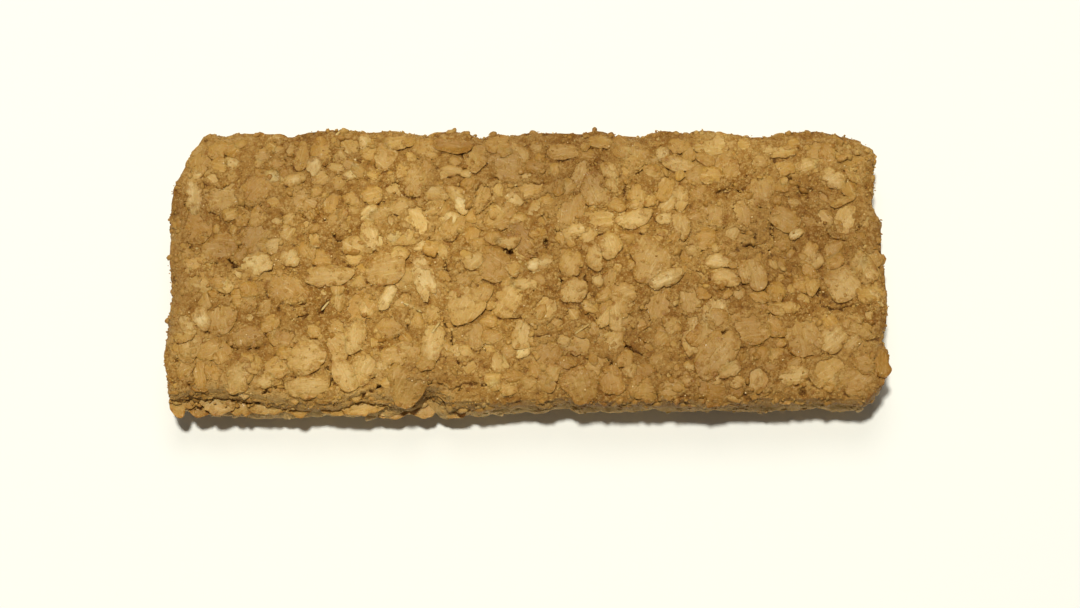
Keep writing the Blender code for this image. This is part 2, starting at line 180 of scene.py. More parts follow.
# Flakes that show: x, y, length, width (mm), turn (degrees), tone, gold (0 to 1), rise (mm)
SHOWN_FLAKES = (
    (-27.3, 13.2, 3.2, 1.9, 80, 0.92, 0.1, 0.32),
    (-24.5, 12.9, 2.8, 1.5, -10, 0.72, 0.1, 0.14),
    (-32.4, 11.7, 2.7, 2.0, -20, 0.82, 0.2, 0.26),
    (-29.7, 11.3, 3.2, 1.9, 20, 0.82, 0.2, 0.20),
    (-28.9, 14.4, 4.6, 1.9, 82, 0.62, 0.5, 0.10),
    (-39.6, 15.4, 3.6, 2.4, 30, 0.62, 0.6, 0.12),
    (-42.6, 9.1, 5.0, 2.3, 98, 0.86, 0.1, 0.18),
    (-19.8, 9.3, 3.4, 2.6, 15, 0.64, 0.8, 0.20),
    (-14.3, 11.0, 3.8, 3.6, 60, 0.60, 0.3, 0.24),
    (-9.6, 12.6, 3.6, 1.5, -10, 0.72, 0.3, 0.16),
    (-16.4, 7.7, 3.0, 2.4, 30, 0.72, 0.2, 0.20),
    (-20.0, 3.8, 4.6, 2.3, 103, 0.80, 0.3, 0.30),
    (-21.9, 2.4, 3.6, 2.8, 150, 0.70, 0.4, 0.14),
    (-30.0, 0.7, 2.5, 2.4, 60, 0.86, 0.1, 0.24),
    (-26.1, 0.9, 2.8, 2.9, 0, 0.50, 0.9, 0.14),
    (-25.1, -1.7, 6.4, 3.0, 5, 0.66, 0.1, 0.30),
    (-17.9, -0.9, 6.0, 4.2, 12, 0.58, 0.1, 0.36),
    (-17.6, -4.4, 4.0, 1.9, 60, 0.86, 0.2, 0.24),
    (-41.1, -2.8, 3.2, 2.5, 150, 0.76, 0.2, 0.18),
    (-41.0, -7.2, 4.0, 2.0, 115, 0.92, 0.0, 0.26),
    (-42.8, -8.1, 3.6, 1.9, 120, 0.80, 0.2, 0.18),
    (-39.8, -11.3, 3.8, 3.1, 20, 0.62, 0.7, 0.14),
    (-36.0, -14.7, 5.6, 3.2, 62, 0.72, 0.2, 0.32),
    (-27.6, -12.4, 5.2, 4.8, 10, 0.74, 0.3, 0.40),
    (-31.5, -13.8, 3.8, 2.9, 10, 0.58, 0.7, 0.14),
    (-32.7, -15.3, 2.6, 2.1, 30, 0.80, 0.3, 0.18),
    (-27.4, -16.0, 6.0, 2.6, 4, 0.74, 0.3, 0.18),
    (-22.8, -14.5, 4.6, 3.0, 120, 0.74, 0.2, 0.32),
    (-21.6, -9.4, 4.6, 3.1, 88, 0.74, 0.2, 0.24),
    (-26.7, -8.8, 2.3, 2.0, 0, 0.60, 0.5, 0.14),
    (-16.8, -12.1, 3.6, 2.9, 10, 0.62, 0.5, 0.26),
    (-11.7, -10.3, 5.4, 3.2, 70, 0.80, 0.2, 0.26),
    (-15.0, -16.5, 5.0, 4.6, 60, 0.62, 0.3, 0.32),
    (-3.3, 16.0, 3.6, 3.2, 10, 0.62, 0.7, 0.18),
    (-16.8, 16.4, 3.6, 2.1, 5, 0.70, 0.6, 0.18),
    (-27.0, 9.7, 2.0, 1.7, 0, 0.55, 0.9, 0.14),
    (-22.5, 8.8, 2.3, 1.8, 20, 0.60, 0.6, 0.12),
    (-12.0, 2.2, 3.0, 2.4, 10, 0.54, 0.9, 0.14),
    (-33.3, 2.4, 2.4, 2.0, 30, 0.56, 0.8, 0.12),
    (-36.3, -4.4, 2.6, 2.8, 0, 0.52, 0.8, 0.12),
    (-6.8, 0.3, 2.6, 2.3, 40, 0.74, 0.3, 0.20),
    (9.6, 16.6, 3.4, 2.3, 0, 0.66, 0.8, 0.24),
    (4.7, 15.2, 4.8, 2.4, 8, 0.64, 0.3, 0.18),
    (19.4, 16.0, 3.2, 2.3, 0, 0.64, 0.7, 0.12),
    (10.5, 12.6, 3.2, 2.4, 130, 0.76, 0.2, 0.20),
    (19.4, 13.5, 5.4, 2.0, 170, 0.74, 0.2, 0.18),
    (23.6, 11.9, 3.0, 2.8, 0, 0.64, 0.9, 0.24),
    (19.5, 8.6, 3.8, 2.3, 80, 0.70, 0.2, 0.18),
    (13.7, 6.0, 5.4, 2.6, 20, 0.78, 0.2, 0.24),
    (19.7, 5.2, 4.2, 2.5, 100, 0.70, 0.2, 0.18),
    (17.5, 6.0, 2.0, 1.7, 0, 0.82, 0.1, 0.22),
    (6.0, 4.3, 3.9, 2.0, 10, 0.78, 0.4, 0.24),
    (10.6, 2.4, 4.2, 3.0, 105, 0.70, 0.1, 0.30),
    (8.6, 0.8, 3.6, 2.2, 96, 0.70, 0.2, 0.28),
    (5.6, 0.1, 3.9, 3.5, 60, 0.68, 0.6, 0.30),
    (6.0, -3.6, 3.8, 3.2, 66, 0.78, 0.5, 0.38),
    (15.7, 0.4, 6.3, 5.6, 60, 0.60, 0.1, 0.38),
    (12.4, -3.9, 4.0, 3.2, 20, 0.60, 0.2, 0.14),
    (22.8, 3.3, 3.2, 2.9, 0, 0.50, 0.9, 0.18),
    (24.1, 0.4, 4.2, 1.9, -10, 0.80, 0.2, 0.22),
    (25.2, -1.9, 4.2, 2.4, -20, 0.76, 0.5, 0.20),
    (28.8, -1.4, 5.0, 3.7, 100, 0.70, 0.0, 0.38),
    (31.7, -3.6, 2.9, 2.3, 90, 0.60, 0.9, 0.18),
    (34.8, -2.6, 2.8, 2.3, 10, 0.62, 0.9, 0.18),
    (32.6, -5.9, 5.0, 1.9, 5, 0.70, 0.4, 0.18),
    (33.0, 5.8, 4.0, 3.6, 150, 0.62, 0.4, 0.22),
    (34.3, 4.0, 2.0, 1.4, 20, 0.92, 0.1, 0.28),
    (36.4, 0.4, 3.2, 2.3, 20, 0.78, 0.2, 0.18),
    (39.9, -2.4, 5.6, 4.6, 120, 0.78, 0.1, 0.24),
    (43.6, -3.9, 3.6, 3.3, 0, 0.66, 0.7, 0.14),
    (39.2, 11.6, 4.0, 2.7, 150, 0.82, 0.1, 0.28),
    (35.8, 13.2, 3.2, 2.3, 20, 0.76, 0.3, 0.18),
    (32.9, 15.2, 3.9, 2.0, 5, 0.70, 0.4, 0.12),
    (38.3, -10.1, 4.4, 3.6, 40, 0.76, 0.2, 0.24),
    (33.4, -14.6, 4.6, 2.7, 5, 0.82, 0.3, 0.24),
    (23.9, -11.8, 7.2, 4.9, 52, 0.64, 0.2, 0.40),
    (4.7, -10.1, 2.2, 2.0, 0, 0.74, 0.3, 0.14),
    (2.6, -11.8, 4.1, 3.8, 30, 0.50, 0.6, 0.18),
    (12.4, -12.4, 2.6, 2.3, 90, 0.62, 0.7, 0.14),
    (6.9, -15.8, 5.2, 4.8, 110, 0.56, 0.3, 0.36),
    (10.6, -15.3, 4.0, 3.3, 100, 0.50, 0.8, 0.22),
    (14.6, -16.3, 3.6, 3.2, 0, 0.60, 0.6, 0.18),
    (18.1, -16.3, 3.4, 2.7, 10, 0.62, 0.5, 0.14),
    (0.9, -0.1, 2.1, 1.8, 20, 0.90, 0.0, 0.22),
    (-0.3, -2.6, 4.1, 1.7, 0, 0.74, 0.2, 0.14),
    (44.6, -13.1, 3.4, 2.5, 90, 0.50, 0.8, 0.20),
)

# Flakes that curl: as above, with how far the rim stands over the middle (mm) at the end
CURLED_FLAKES = (
    (-9.5, 15.9, 5.2, 2.2, -4, 0.26, 0.5, 0.24, 0.45),
    (-8.4, 7.8, 3.2, 1.4, 112, 0.95, 0.1, 0.26, 0.25),
    (-12.9, -2.3, 6.0, 2.9, 108, 0.86, 0.1, 0.36, 0.35),
    (-7.8, -5.5, 5.8, 5.0, 62, 0.68, 0.3, 0.26, 0.45),
    (-0.6, -9.6, 4.0, 3.0, 80, 0.82, 0.1, 0.32, 0.35),
    (17.7, -2.1, 5.0, 2.2, 24, 0.88, 0.0, 0.62, -0.25),
    (25.4, -13.9, 3.8, 2.0, 30, 0.80, 0.1, 0.34, 0.15),
)

# Flakes of the layers under the crust, where they stand out past its worn front edge:
# x, y, height, length, width (mm), turn (degrees), tone, gold
LEDGE_LEAN = math.radians(9)
LEDGE_FLAKES = (
    (-43.4, -17.2, 5.9, 4.2, 3.4, 75, 0.60, 0.6),
    (-40.9, -17.4, 5.2, 4.0, 3.0, 20, 0.50, 0.5),
    (-38.9, -17.5, 6.1, 5.0, 2.9, -14, 0.84, 0.2),
    (-35.6, -17.5, 5.7, 4.0, 3.2, 30, 0.62, 0.5),
    (-32.6, -17.6, 6.0, 5.2, 2.8, -5, 0.70, 0.4),
    (-28.6, -17.8, 5.7, 4.6, 2.6, 9, 0.60, 0.5),
    (-24.4, -17.7, 5.6, 4.4, 2.8, -12, 0.64, 0.4),
    (-20.4, -17.6, 6.1, 5.6, 3.2, 16, 0.64, 0.8),
    (-17.2, -17.8, 4.3, 5.0, 2.6, -6, 0.50, -0.2),
    (-13.0, -17.5, 4.5, 5.2, 3.2, 8, 0.46, -0.2),
    (-9.2, -17.6, 4.6, 4.4, 2.8, -10, 0.50, -0.2),
)
LEDGE_CRUMBS = 90
LEDGE_CRUMB_SIZE = (0.12 * MM, 0.36 * MM)
LEDGE_SPAN = (-45.0 * MM, -16.0 * MM)
LEDGE_GAP = (-18.0 * MM, -16.6 * MM)
LEDGE_LEVEL = (6.2 * MM, 6.6 * MM)

# Straws of oat husk: x, y, length (mm), turn (degrees)
STRAWS = (
    (-14.4, -5.8, 2.8, -28),
    (7.1, -8.5, 2.5, 36),
    (-25.4, -5.6, 1.6, 52),
    (-11.4, -8.4, 1.8, 58),
)

# Colours as they look on a screen, 0 to 255
PASTE_DARK = (146, 100, 32)
PASTE = (162, 118, 50)
PASTE_PALE = (178, 136, 68)
# Pale flour specks; the same colour is also painted light on the paste's raised lumps
FLOUR_AND_HIGHLIGHT = (202, 166, 102)
TOASTED = (138, 84, 18)
# Painted shade, laid into the paste's hollows and cracks
CREASE_SHADE = (92, 50, 4)
FIBRE = (158, 118, 56)
PALE_FIBRE = (226, 202, 150)
FLAKE_PLAIN = ((0.0, (140, 98, 36)), (0.4, (167, 127, 60)), (0.65, (182, 146, 80)), (0.85, (196, 164, 103)),
               (1.0, (216, 192, 138)))
FLAKE_GOLD = ((0.0, (142, 94, 32)), (0.4, (174, 130, 54)), (0.65, (186, 146, 73)), (0.85, (200, 164, 95)),
              (1.0, (216, 188, 126)))
INNER_PASTE = (222, 184, 113)
INNER_OAT = (230, 198, 135)
FLOOR = (227, 228, 226)

# Light and camera
KEY_PLACE = (-0.06, 0.060, 1.00)
KEY_SIZE = 0.10
KEY_POWER = 10.6
LAMP_COLOUR = (1.0, 0.975, 0.87)
FILL_PLACE = (0.0, 0.42, 0.75)
FILL_SIZE = 0.45
FILL_POWER = 1.7
ROOM_COLOUR = (1.0, 0.975, 0.90, 1.0)
ROOM_STRENGTH = 0.11
CAMERA_DISTANCE = 0.317
CAMERA_ELEVATION = math.radians(73.4)
CAMERA_TARGET = Vector((0.0017, -0.0054, 0.0092))
CAMERA_LENS = 83.8


# ---------------------------------------------------------------- mesh helpers

def link(obj):
    bpy.context.scene.collection.objects.link(obj)
    return obj


def evaluated_mesh(obj):
    depsgraph = bpy.context.evaluated_depsgraph_get()
    return bpy.data.meshes.new_from_object(obj.evaluated_get(depsgraph), depsgraph=depsgraph)


def vertex_array(mesh):
    places = np.empty(len(mesh.vertices) * 3)
    mesh.vertices.foreach_get("co", places)
    return places.reshape(-1, 3)


def normal_array(mesh):
    normals = np.empty(len(mesh.vertices) * 3)
    mesh.vertex_normals.foreach_get("vector", normals)
    return normals.reshape(-1, 3)


def write_attribute(mesh, label, values):
    layer = mesh.attributes.new(label, "FLOAT_VECTOR", "POINT")
    layer.data.foreach_set("vector", values.ravel())


def ease(share):
    """Smooth step from 0 to 1."""
    share = np.clip(share, 0.0, 1.0)
    return share * share * (3.0 - 2.0 * share)


class Pile:
    """Many small closed pieces that become one mesh, with a look for each point."""

    def __init__(self):
        self.places = []
        self.faces = []
        self.grain = []
        self.look = []
        self.count = 0

    def add(self, places, faces, grain, look):
        self.places.append(places)
        self.faces.append(faces + self.count)
        self.grain.append(grain)
        self.look.append(look)
        self.count += len(places)

    def build(self, name, material):
        places = np.concatenate(self.places)
        faces = np.concatenate(self.faces)
        mesh = bpy.data.meshes.new(name)
        mesh.vertices.add(len(places))
        mesh.vertices.foreach_set("co", places.ravel())
        mesh.loops.add(len(faces) * 3)
        mesh.loops.foreach_set("vertex_index", faces.ravel().astype(np.int32))
        mesh.polygons.add(len(faces))
        mesh.polygons.foreach_set("loop_start", np.arange(0, len(faces) * 3, 3, dtype=np.int32))
        mesh.update(calc_edges=True)
        write_attribute(mesh, "grain", np.concatenate(self.grain))
        write_attribute(mesh, "look", np.concatenate(self.look))
        mesh.shade_smooth()
        mesh.materials.append(material)
        piece = link(bpy.data.objects.new(name, mesh))
        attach(piece, BODY)
        return piece


# ---------------------------------------------------------------- noise

def field(places, size, seed):
    """Smooth noise at each place in space, about -1 to 1."""
    shift = Vector((seed * 3.7, seed * 1.9, seed * 5.3))
    return np.array([noise.noise(Vector(place) / size + shift) for place in places])


def lumps(places, size, seed):
    """Rounded lumps packed side by side in space: 1 on a lump's top, near 0 in the creases between."""
    shift = Vector((seed * 2.3, seed * 4.1, seed * 1.7))
    nearest = np.array([noise.voronoi(Vector(place) / size + shift)[0][0] for place in places])
    return 1.0 - np.clip(nearest / 0.75, 0.0, 1.0) ** 2


def grid_cell(x, y, size):
    """Cell of a square grid each place is in, and how far into it."""
    u, v = x / size, y / size
    i, j = np.floor(u).astype(int), np.floor(v).astype(int)
    return i, j, u - i, v - j


def flat_field(x, y, size, seed):
    """Smooth noise over a plane, about -1 to 1."""
    turns = np.random.default_rng(seed).uniform(0, 2 * math.pi, (NOISE_TILE, NOISE_TILE))
    i, j, s, t = grid_cell(x, y, size)

    def pull(step_i, step_j):
        turn = turns[(i + step_i) % NOISE_TILE, (j + step_j) % NOISE_TILE]
        return np.cos(turn) * (s - step_i) + np.sin(turn) * (t - step_j)

    near = pull(0, 0) * (1 - ease(s)) + pull(1, 0) * ease(s)
    far = pull(0, 1) * (1 - ease(s)) + pull(1, 1) * ease(s)
    return 1.5 * (near * (1 - ease(t)) + far * ease(t))


def flat_lumps(x, y, size, seed):
    """Rounded lumps packed side by side over a plane: 1 on a lump's top, near 0 in the creases between."""
    shifts = np.random.default_rng(seed).uniform(0, 1, (2, NOISE_TILE, NOISE_TILE))
    i, j, s, t = grid_cell(x, y, size)
    nearest = np.full(np.shape(s), 2.0)
    for step_i in (-1, 0, 1):
        for step_j in (-1, 0, 1):
            spot = shifts[:, (i + step_i) % NOISE_TILE, (j + step_j) % NOISE_TILE]
            nearest = np.minimum(nearest, np.hypot(s - step_i - spot[0], t - step_j - spot[1]))
    return 1.0 - np.clip(nearest / 0.8, 0.0, 1.0) ** 2


def distance_to_line(x, y, points):
    """Distance from each place to a bent line."""
    nearest = np.full(np.shape(x), 1.0)
    for (ax, ay), (bx, by) in zip(points[:-1], points[1:]):
        dx, dy = (bx - ax) * MM, (by - ay) * MM
        share = ((x - ax * MM) * dx + (y - ay * MM) * dy) / (dx * dx + dy * dy)
        share = np.clip(share, 0.0, 1.0)
        gap = np.hypot(x - ax * MM - share * dx, y - ay * MM - share * dy)
        nearest = np.minimum(nearest, gap)
    return nearest


def crack_depth(x, y):
    """Depth of the cracks, whose lines wander a little from the listed points."""
    x = x + CRACK_WANDER * flat_field(x, y, CRACK_WANDER_SIZE, 21)
    y = y + CRACK_WANDER * flat_field(x, y, CRACK_WANDER_SIZE, 22)
    depth = np.zeros(np.shape(x))
    for (width, deep), points in CRACKS:
        gap = distance_to_line(x, y, points) / (CRACK_THINNER * width * MM)
        depth = np.maximum(depth, CRACK_DEEPER * deep * MM * np.exp(-gap * gap))
    return depth * np.clip(0.75 + 1.2 * flat_field(x, y, 0.7 * MM, 23), 0.0, 1.4)


def paste_relief(x, y, chance):
    """Height of the crumbly paste over its own level."""
    warped_x = x + WARP * flat_field(x, y, WARP_SIZE, 11)
    warped_y = y + WARP * flat_field(x, y, WARP_SIZE, 12)
    relief = SWELL * flat_field(x, y, SWELL_SIZE, 13)
    relief += LUMP * (flat_lumps(warped_x, warped_y, LUMP_SIZE, 14) - 0.55)
    relief += GRAIN * (flat_lumps(warped_x, warped_y, GRAIN_SIZE, 15) - 0.55)
    relief += GRIT * flat_field(x, y, GRIT_SIZE, 16)
    for _ in range(PITS):
        at_x, at_y = chance.uniform(x.min(), x.max()), chance.uniform(y.min(), y.max())
        gap = np.hypot(x - at_x, y - at_y) / chance.uniform(*PIT_RADIUS)
        relief -= chance.uniform(*PIT_DEPTH) * np.exp(-gap * gap)
    return relief


# ---------------------------------------------------------------- height maps

def blurred(values, reach):
    """Mean of a map over a square of cells, twice, which is close to a soft blur."""
    for _ in range(2):
        for axis in (0, 1):
            first, last = np.take(values, [0], axis), np.take(values, [-1], axis)
            before, after = np.repeat(first, reach + 1, axis), np.repeat(last, reach, axis)
            padded = np.concatenate([before, values, after], axis)
            total = np.cumsum(padded, axis)
            count = values.shape[axis]
            upper = np.take(total, np.arange(count) + 2 * reach + 1, axis)
            lower = np.take(total, np.arange(count), axis)
            values = (upper - lower) / (2 * reach + 1)
    return values


class Bed:
    """Maps of one broad side of the bar. Heights are measured outwards: up on the top, down on the underside.

    base is the smooth level, skin the highest flake face, ceiling how high the paste may stand, and
    paste the paste's own height once it is set.
    """

    def __init__(self, tree, low, high, side):
        margin = 1.5 * MM
        self.tree = tree
        self.side = side
        self.low, self.high = low, high
        self.x0 = low.x - margin
        self.y0 = low.y - margin
        self.columns = int((high.x - low.x + 2 * margin) / CELL) + 1
        self.rows = int((high.y - low.y + 2 * margin) / CELL) + 1
        height = np.full((self.columns, self.rows), np.nan)
        near = high.z / 2 if side > 0 else -high.z / 4
        for i in range(self.columns):
            for j in range(self.rows):
                eye = Vector((self.x0 + i * CELL, self.y0 + j * CELL, side * 0.05))
                hit = tree.ray_cast(eye, Vector((0, 0, -side)))[0]
                if hit and side * hit.z > near:
                    height[i, j] = side * hit.z
        self.solid = ~np.isnan(height)
        self.base = self.spread_out(height)
        self.skin = np.full(height.shape, -1.0)
        self.ceiling = self.base + 2.0 * MM
        self.crack = np.zeros(height.shape)
        self.paste = self.base.copy()

    def spread_out(self, height):
        """A height map softened, and carried on past the edge of the bar."""
        known = np.where(self.solid, height, 0.0)
        result = np.where(self.solid, height, np.nanmedian(height))
        for reach in (12, 6, 2):
            weight = blurred(self.solid.astype(float), reach)
            mean = blurred(known, reach) / np.maximum(weight, 1e-6)
            result = np.where(weight > 0.02, mean, result)
        return result

    def grid(self):
        return np.meshgrid(self.x0 + np.arange(self.columns) * CELL, self.y0 + np.arange(self.rows) * CELL,
                           indexing="ij")

    def window(self, x, y, reach):
        i0 = max(int((x - reach - self.x0) / CELL), 0)
        i1 = min(int((x + reach - self.x0) / CELL) + 2, self.columns)
        j0 = max(int((y - reach - self.y0) / CELL), 0)
        j1 = min(int((y + reach - self.y0) / CELL) + 2, self.rows)
        grid_x, grid_y = np.meshgrid(self.x0 + np.arange(i0, i1) * CELL, self.y0 + np.arange(j0, j1) * CELL,
                                     indexing="ij")
        return (slice(i0, i1), slice(j0, j1)), grid_x, grid_y

    def sample(self, values, x, y):
        """Value of a map at places, from the four cells round each."""
        u = np.clip((x - self.x0) / CELL, 0, self.columns - 1.001)
        v = np.clip((y - self.y0) / CELL, 0, self.rows - 1.001)
        i, j = u.astype(int), v.astype(int)
        s, t = u - i, v - j
        near = values[i, j] * (1 - t) + values[i, j + 1] * t
        far = values[i + 1, j] * (1 - t) + values[i + 1, j + 1] * t
        return near * (1 - s) + far * s

    def set_paste(self, relief):
        """Fill the gaps between the flakes with paste, which may run over their rims, not their middles."""
        self.paste = np.minimum(self.base + relief, self.ceiling)
        self.surface = np.maximum(self.paste, self.skin)
        self.smooth = blurred(self.surface, 2)
        # How far the paste stands over its blurred self, later used for painted shade in its hollows and
        # painted light on its lumps
        self.cavity = np.clip((self.paste - blurred(self.paste, 3)) / CAVITY_RANGE, -1.0, 1.0)


# ---------------------------------------------------------------- flakes

class Flake:
    """An oat flake, whole or broken: an outline in polar form, a curl, a crease along it and a thickness."""

    def __init__(self, chance, length, width, broken, curl=None):
        self.a = length / 2
        self.b = width / 2
        self.broken = broken
        self.thick = chance.uniform(*FLAKE_THICKNESS)
        self.waves = chance.uniform(0, 2 * math.pi, 9)
        self.ragged = chance.uniform(0.03, 0.07) if not broken else chance.uniform(0.04, 0.09)
        self.curl = chance.uniform(-0.16, 0.16) * MM if curl is None else curl * MM
        self.twist = chance.uniform(-0.16, 0.16) * MM
        self.crease = chance.uniform(0.0, 0.12) * MM
        self.notches = [
            (chance.uniform(0, 2 * math.pi), chance.uniform(*NOTCH_DEPTH), chance.uniform(*NOTCH_WIDTH))
            for _ in range(chance.integers(1, 4))]
        self.breaks = self.break_lines(chance, broken)

    @staticmethod
    def break_lines(chance, broken):
        """Directions and distances of the straight edges where pieces have broken off."""
        count = int(chance.integers(3, 6) if broken else chance.integers(1, 4))
        turns = chance.uniform(0, 2 * math.pi) + np.arange(count) * 2 * math.pi / count
        turns += chance.uniform(-0.5, 0.5, count)
        reach = (0.60, 0.95) if broken else (0.80, 1.15)
        return [(turn, chance.uniform(*reach)) for turn in turns]

    def radius(self, angle):
        """Distance of the outline from the middle, in a direction."""
        edge = self.a * self.b / np.hypot(self.b * np.cos(angle), self.a * np.sin(angle))
        for index, phase in enumerate(self.waves):
            edge = edge * (1.0 + self.ragged / (0.6 + 0.35 * index) * np.sin((index + 2) * angle + phase))
        for turn, deep, wide in self.notches:
            gap = (angle - turn + math.pi) % (2 * math.pi) - math.pi
            edge = edge * (1.0 - deep * np.exp(-(gap / wide) ** 2))
        for turn, far in self.breaks:
            reach = far * math.hypot(self.a * math.cos(turn), self.b * math.sin(turn))
            limit = reach / np.maximum(np.cos(angle - turn), 0.05)
            edge = (edge ** -BREAK_SHARPNESS + limit ** -BREAK_SHARPNESS) ** (-1.0 / BREAK_SHARPNESS)
        return edge

    def bend(self, x, y):
        """Height of the flake's mid surface over its own flat plane."""
        u, v = x / self.a, y / self.b
        crease = self.crease * np.exp(-(v / 0.22) ** 2) * (1.0 - np.clip(u * u, 0, 1))
        return self.curl * (u * u + v * v - 0.4) + self.twist * u * v - crease

    def half_thickness(self, share):
        """Half of the flake's thickness between its middle and its rim."""
        return self.thick / 2 * (1.0 - (1.0 - RIM_THICKNESS) * np.minimum(share, 1.0) ** 4)

    def shell(self):
        """Direction, share of the outline and side (1 up, -1 down) of each point, and the faces."""
        if self.broken not in SHELLS:
            SHELLS[self.broken] = flake_shell(20, (0.55, 0.90), (0.6,)) if self.broken else \
                flake_shell(36, (0.25, 0.48, 0.70, 0.86, 0.96), (0.85, 0.45))
        return SHELLS[self.broken]

    def points(self):
        """Points of the unbent flake lying flat at the origin: place, half thickness and share."""
        (angle, share, side), faces = self.shell()
        radius = self.radius(angle) * share
        return radius * np.cos(angle), radius * np.sin(angle), side * self.half_thickness(share), share, faces


SHELLS = {}


def flake_shell(sectors, upper_rings, lower_rings):
    """Template of a closed disc: rings from the upper middle, over the rim, to the lower middle."""
    shares = list(upper_rings) + [1.0, 1.0] + list(lower_rings)
    sides = [1] * (len(upper_rings) + 1) + [-1] * (len(lower_rings) + 1)
    angles = np.arange(sectors) * 2 * math.pi / sectors
    points = [(0.0, 0.0, 1.0)]
    for share, side in zip(shares, sides):
        points += [(angle, share, side) for angle in angles]
    points.append((0.0, 0.0, -1.0))
    faces = []
    rings = len(shares)
    for k in range(sectors):
        following = (k + 1) % sectors
        faces.append((0, 1 + k, 1 + following))
        for ring in range(rings - 1):
            a = 1 + ring * sectors + k
            b = 1 + ring * sectors + following
            c = b + sectors
            d = a + sectors
            faces += [(a, d, c), (a, c, b)]
        last = 1 + (rings - 1) * sectors
        faces.append((last + k, len(points) - 1, last + following))
    return np.array(points).T, np.array(faces)


def flake_grain(chance, x, y):
    """Place on the flake in mm, with a number that sets each flake's pattern apart."""
    return np.stack([x / MM, y / MM, np.full_like(x, chance.uniform(0, 50))], axis=1)


def flake_look(tone, share, gold):
    return np.stack([np.full_like(share, tone), share, np.full_like(share, gold)], axis=1)


def plane_fit(x, y, z):
    """Slopes and height of the plane that fits places best."""
    table = np.stack([x, y, np.ones_like(x)], axis=1)
    return np.linalg.lstsq(table, z, rcond=None)[0]


def stands_out(tree, places, ring, limit):
    """Whether the rim of a flake stands off the surface of the bar by more than a limit."""
    for place in places[ring == 1.0][::3]:
        nearest, normal, _, _ = tree.find_nearest(Vector(place))
        if (Vector(place) - nearest).dot(normal) > limit:
            return True
    return False


class Press:
    """How flakes are pressed into a side.

    overlap and overhang are the shares of a flake that may lie on others and past the edge. cover is the
    share of its radius that stays free of paste, and tip is how far it may slope.
    """

    def __init__(self, overlap, overhang, cover, tip):
        self.overlap = overlap
        self.overhang = overhang
        self.cover = cover
        self.tip = tip


def lay_flake(bed, pile, flake, x, y, turn, tone, gold, rise, press, chance):
    """Press a flake into a side of the bar. Its face stands by its rise over the smooth level there.

    Returns False, and lays nothing, where the press does not allow the flake.
    """
    cos, sin = math.cos(turn), math.sin(turn)
    part, grid_x, grid_y = bed.window(x, y, max(flake.a, flake.b) * 1.2)
    along = (grid_x - x) * cos + (grid_y - y) * sin
    across = (grid_y - y) * cos - (grid_x - x) * sin
    share = np.hypot(along, across) / flake.radius(np.arctan2(across, along))
    covered = share < 1.0
    if covered.sum() < 8:
        return False
    overhang = (~bed.solid[part][covered]).mean()
    overlap = (bed.skin[part][covered] > -0.5).mean()
    if overhang > press.overhang or overlap > press.overlap:
        return False
    if press.overlap < 1.0 and bed.crack[part][covered].max() > FLAKE_FREE_CRACK:
        return False
    slope_x, slope_y, level = plane_fit(along[covered], across[covered], bed.base[part][covered])
    if press.overlap < 1.0 and math.hypot(slope_x, slope_y) > STEEPEST:
        return False
    slope_x, slope_y = np.clip((slope_x, slope_y), -0.3, 0.3) + chance.uniform(-press.tip, press.tip, 2)

    def upper(px, py, ring):
        return level + rise + slope_x * px + slope_y * py + flake.bend(px, py) + flake.half_thickness(ring) \
            - flake.thick / 2

    face = upper(along, across, share)
    clash = np.clip(bed.skin[part] - face + flake.thick, 0.0, 1.0 * MM)[covered].mean()
    lift = min(0.8 * clash, 0.30 * MM)
    face = face + lift
    px, py, half, ring, faces = flake.points()
    wx, wy = x + px * cos - py * sin, y + px * sin + py * cos
    wz = upper(px, py, ring) + lift + half - flake.half_thickness(ring)
    places = np.stack([wx, wy, bed.side * wz], axis=1)
    if press.overlap < 1.0 and stands_out(bed.tree, places, ring, BED_STANDOUT):
        return False
    if bed.side < 0:
        places[:, 2] = np.maximum(places[:, 2], 0.0)
        faces = faces[:, ::-1]
    pile.add(places, faces, flake_grain(chance, px, py), flake_look(tone, ring, gold))
    bed.skin[part] = np.where(covered, np.maximum(bed.skin[part], face), bed.skin[part])
    ragged = press.cover + COVER_SPREAD * flat_field(grid_x, grid_y, 0.9 * MM, 31)
    free = share < np.minimum(ragged, 0.97)
    bed.ceiling[part] = np.where(free, np.minimum(bed.ceiling[part], face - COVER_DEPTH), bed.ceiling[part])
    if not flake.broken:
        beyond = (1.0 - 1.0 / np.maximum(share, 0.5)) * np.hypot(along, across)
        ragged = flat_field(grid_x, grid_y, 1.4 * MM, 41) + 0.6 * (y - grid_y) / flake.b
        gap = (np.abs(beyond - GROOVE / 4) < 0.75 * GROOVE) & (ragged > GROOVE_SHARE)
        lowest = face - GROOVE_DEPTH * flake.thick
        bed.ceiling[part] = np.where(gap, np.minimum(bed.ceiling[part], lowest), bed.ceiling[part])
    return True


def flake_tone(chance):
    """Most flakes are golden, some pale, a few toasted."""
    return float(np.clip(chance.normal(0.55, 0.12), 0.10, 1.0))


def random_flake(chance, lengths, broken):
    length = chance.uniform(*lengths)
    return Flake(chance, length, length * chance.uniform(*FLAKE_ROUNDNESS), broken)


def scatter_flakes(bed, pile, chance, count, broken, rise, press):
    """Flakes at random places of a side. It gives up on a flake when there is no room left for it."""
    lengths = BROKEN_LENGTH if broken else WHOLE_LENGTH
    for _ in range(count):
        flake = random_flake(chance, lengths, broken)
        tone, gold = flake_tone(chance), chance.uniform() ** 1.5
        lift = chance.uniform(*rise)
        for _ in range(30):
            x, y = chance.uniform(bed.low.x, bed.high.x), chance.uniform(bed.low.y, bed.high.y)
            turn = chance.uniform(0, 2 * math.pi)
            if lay_flake(bed, pile, flake, x, y, turn, tone, gold, lift, press, chance):
                break


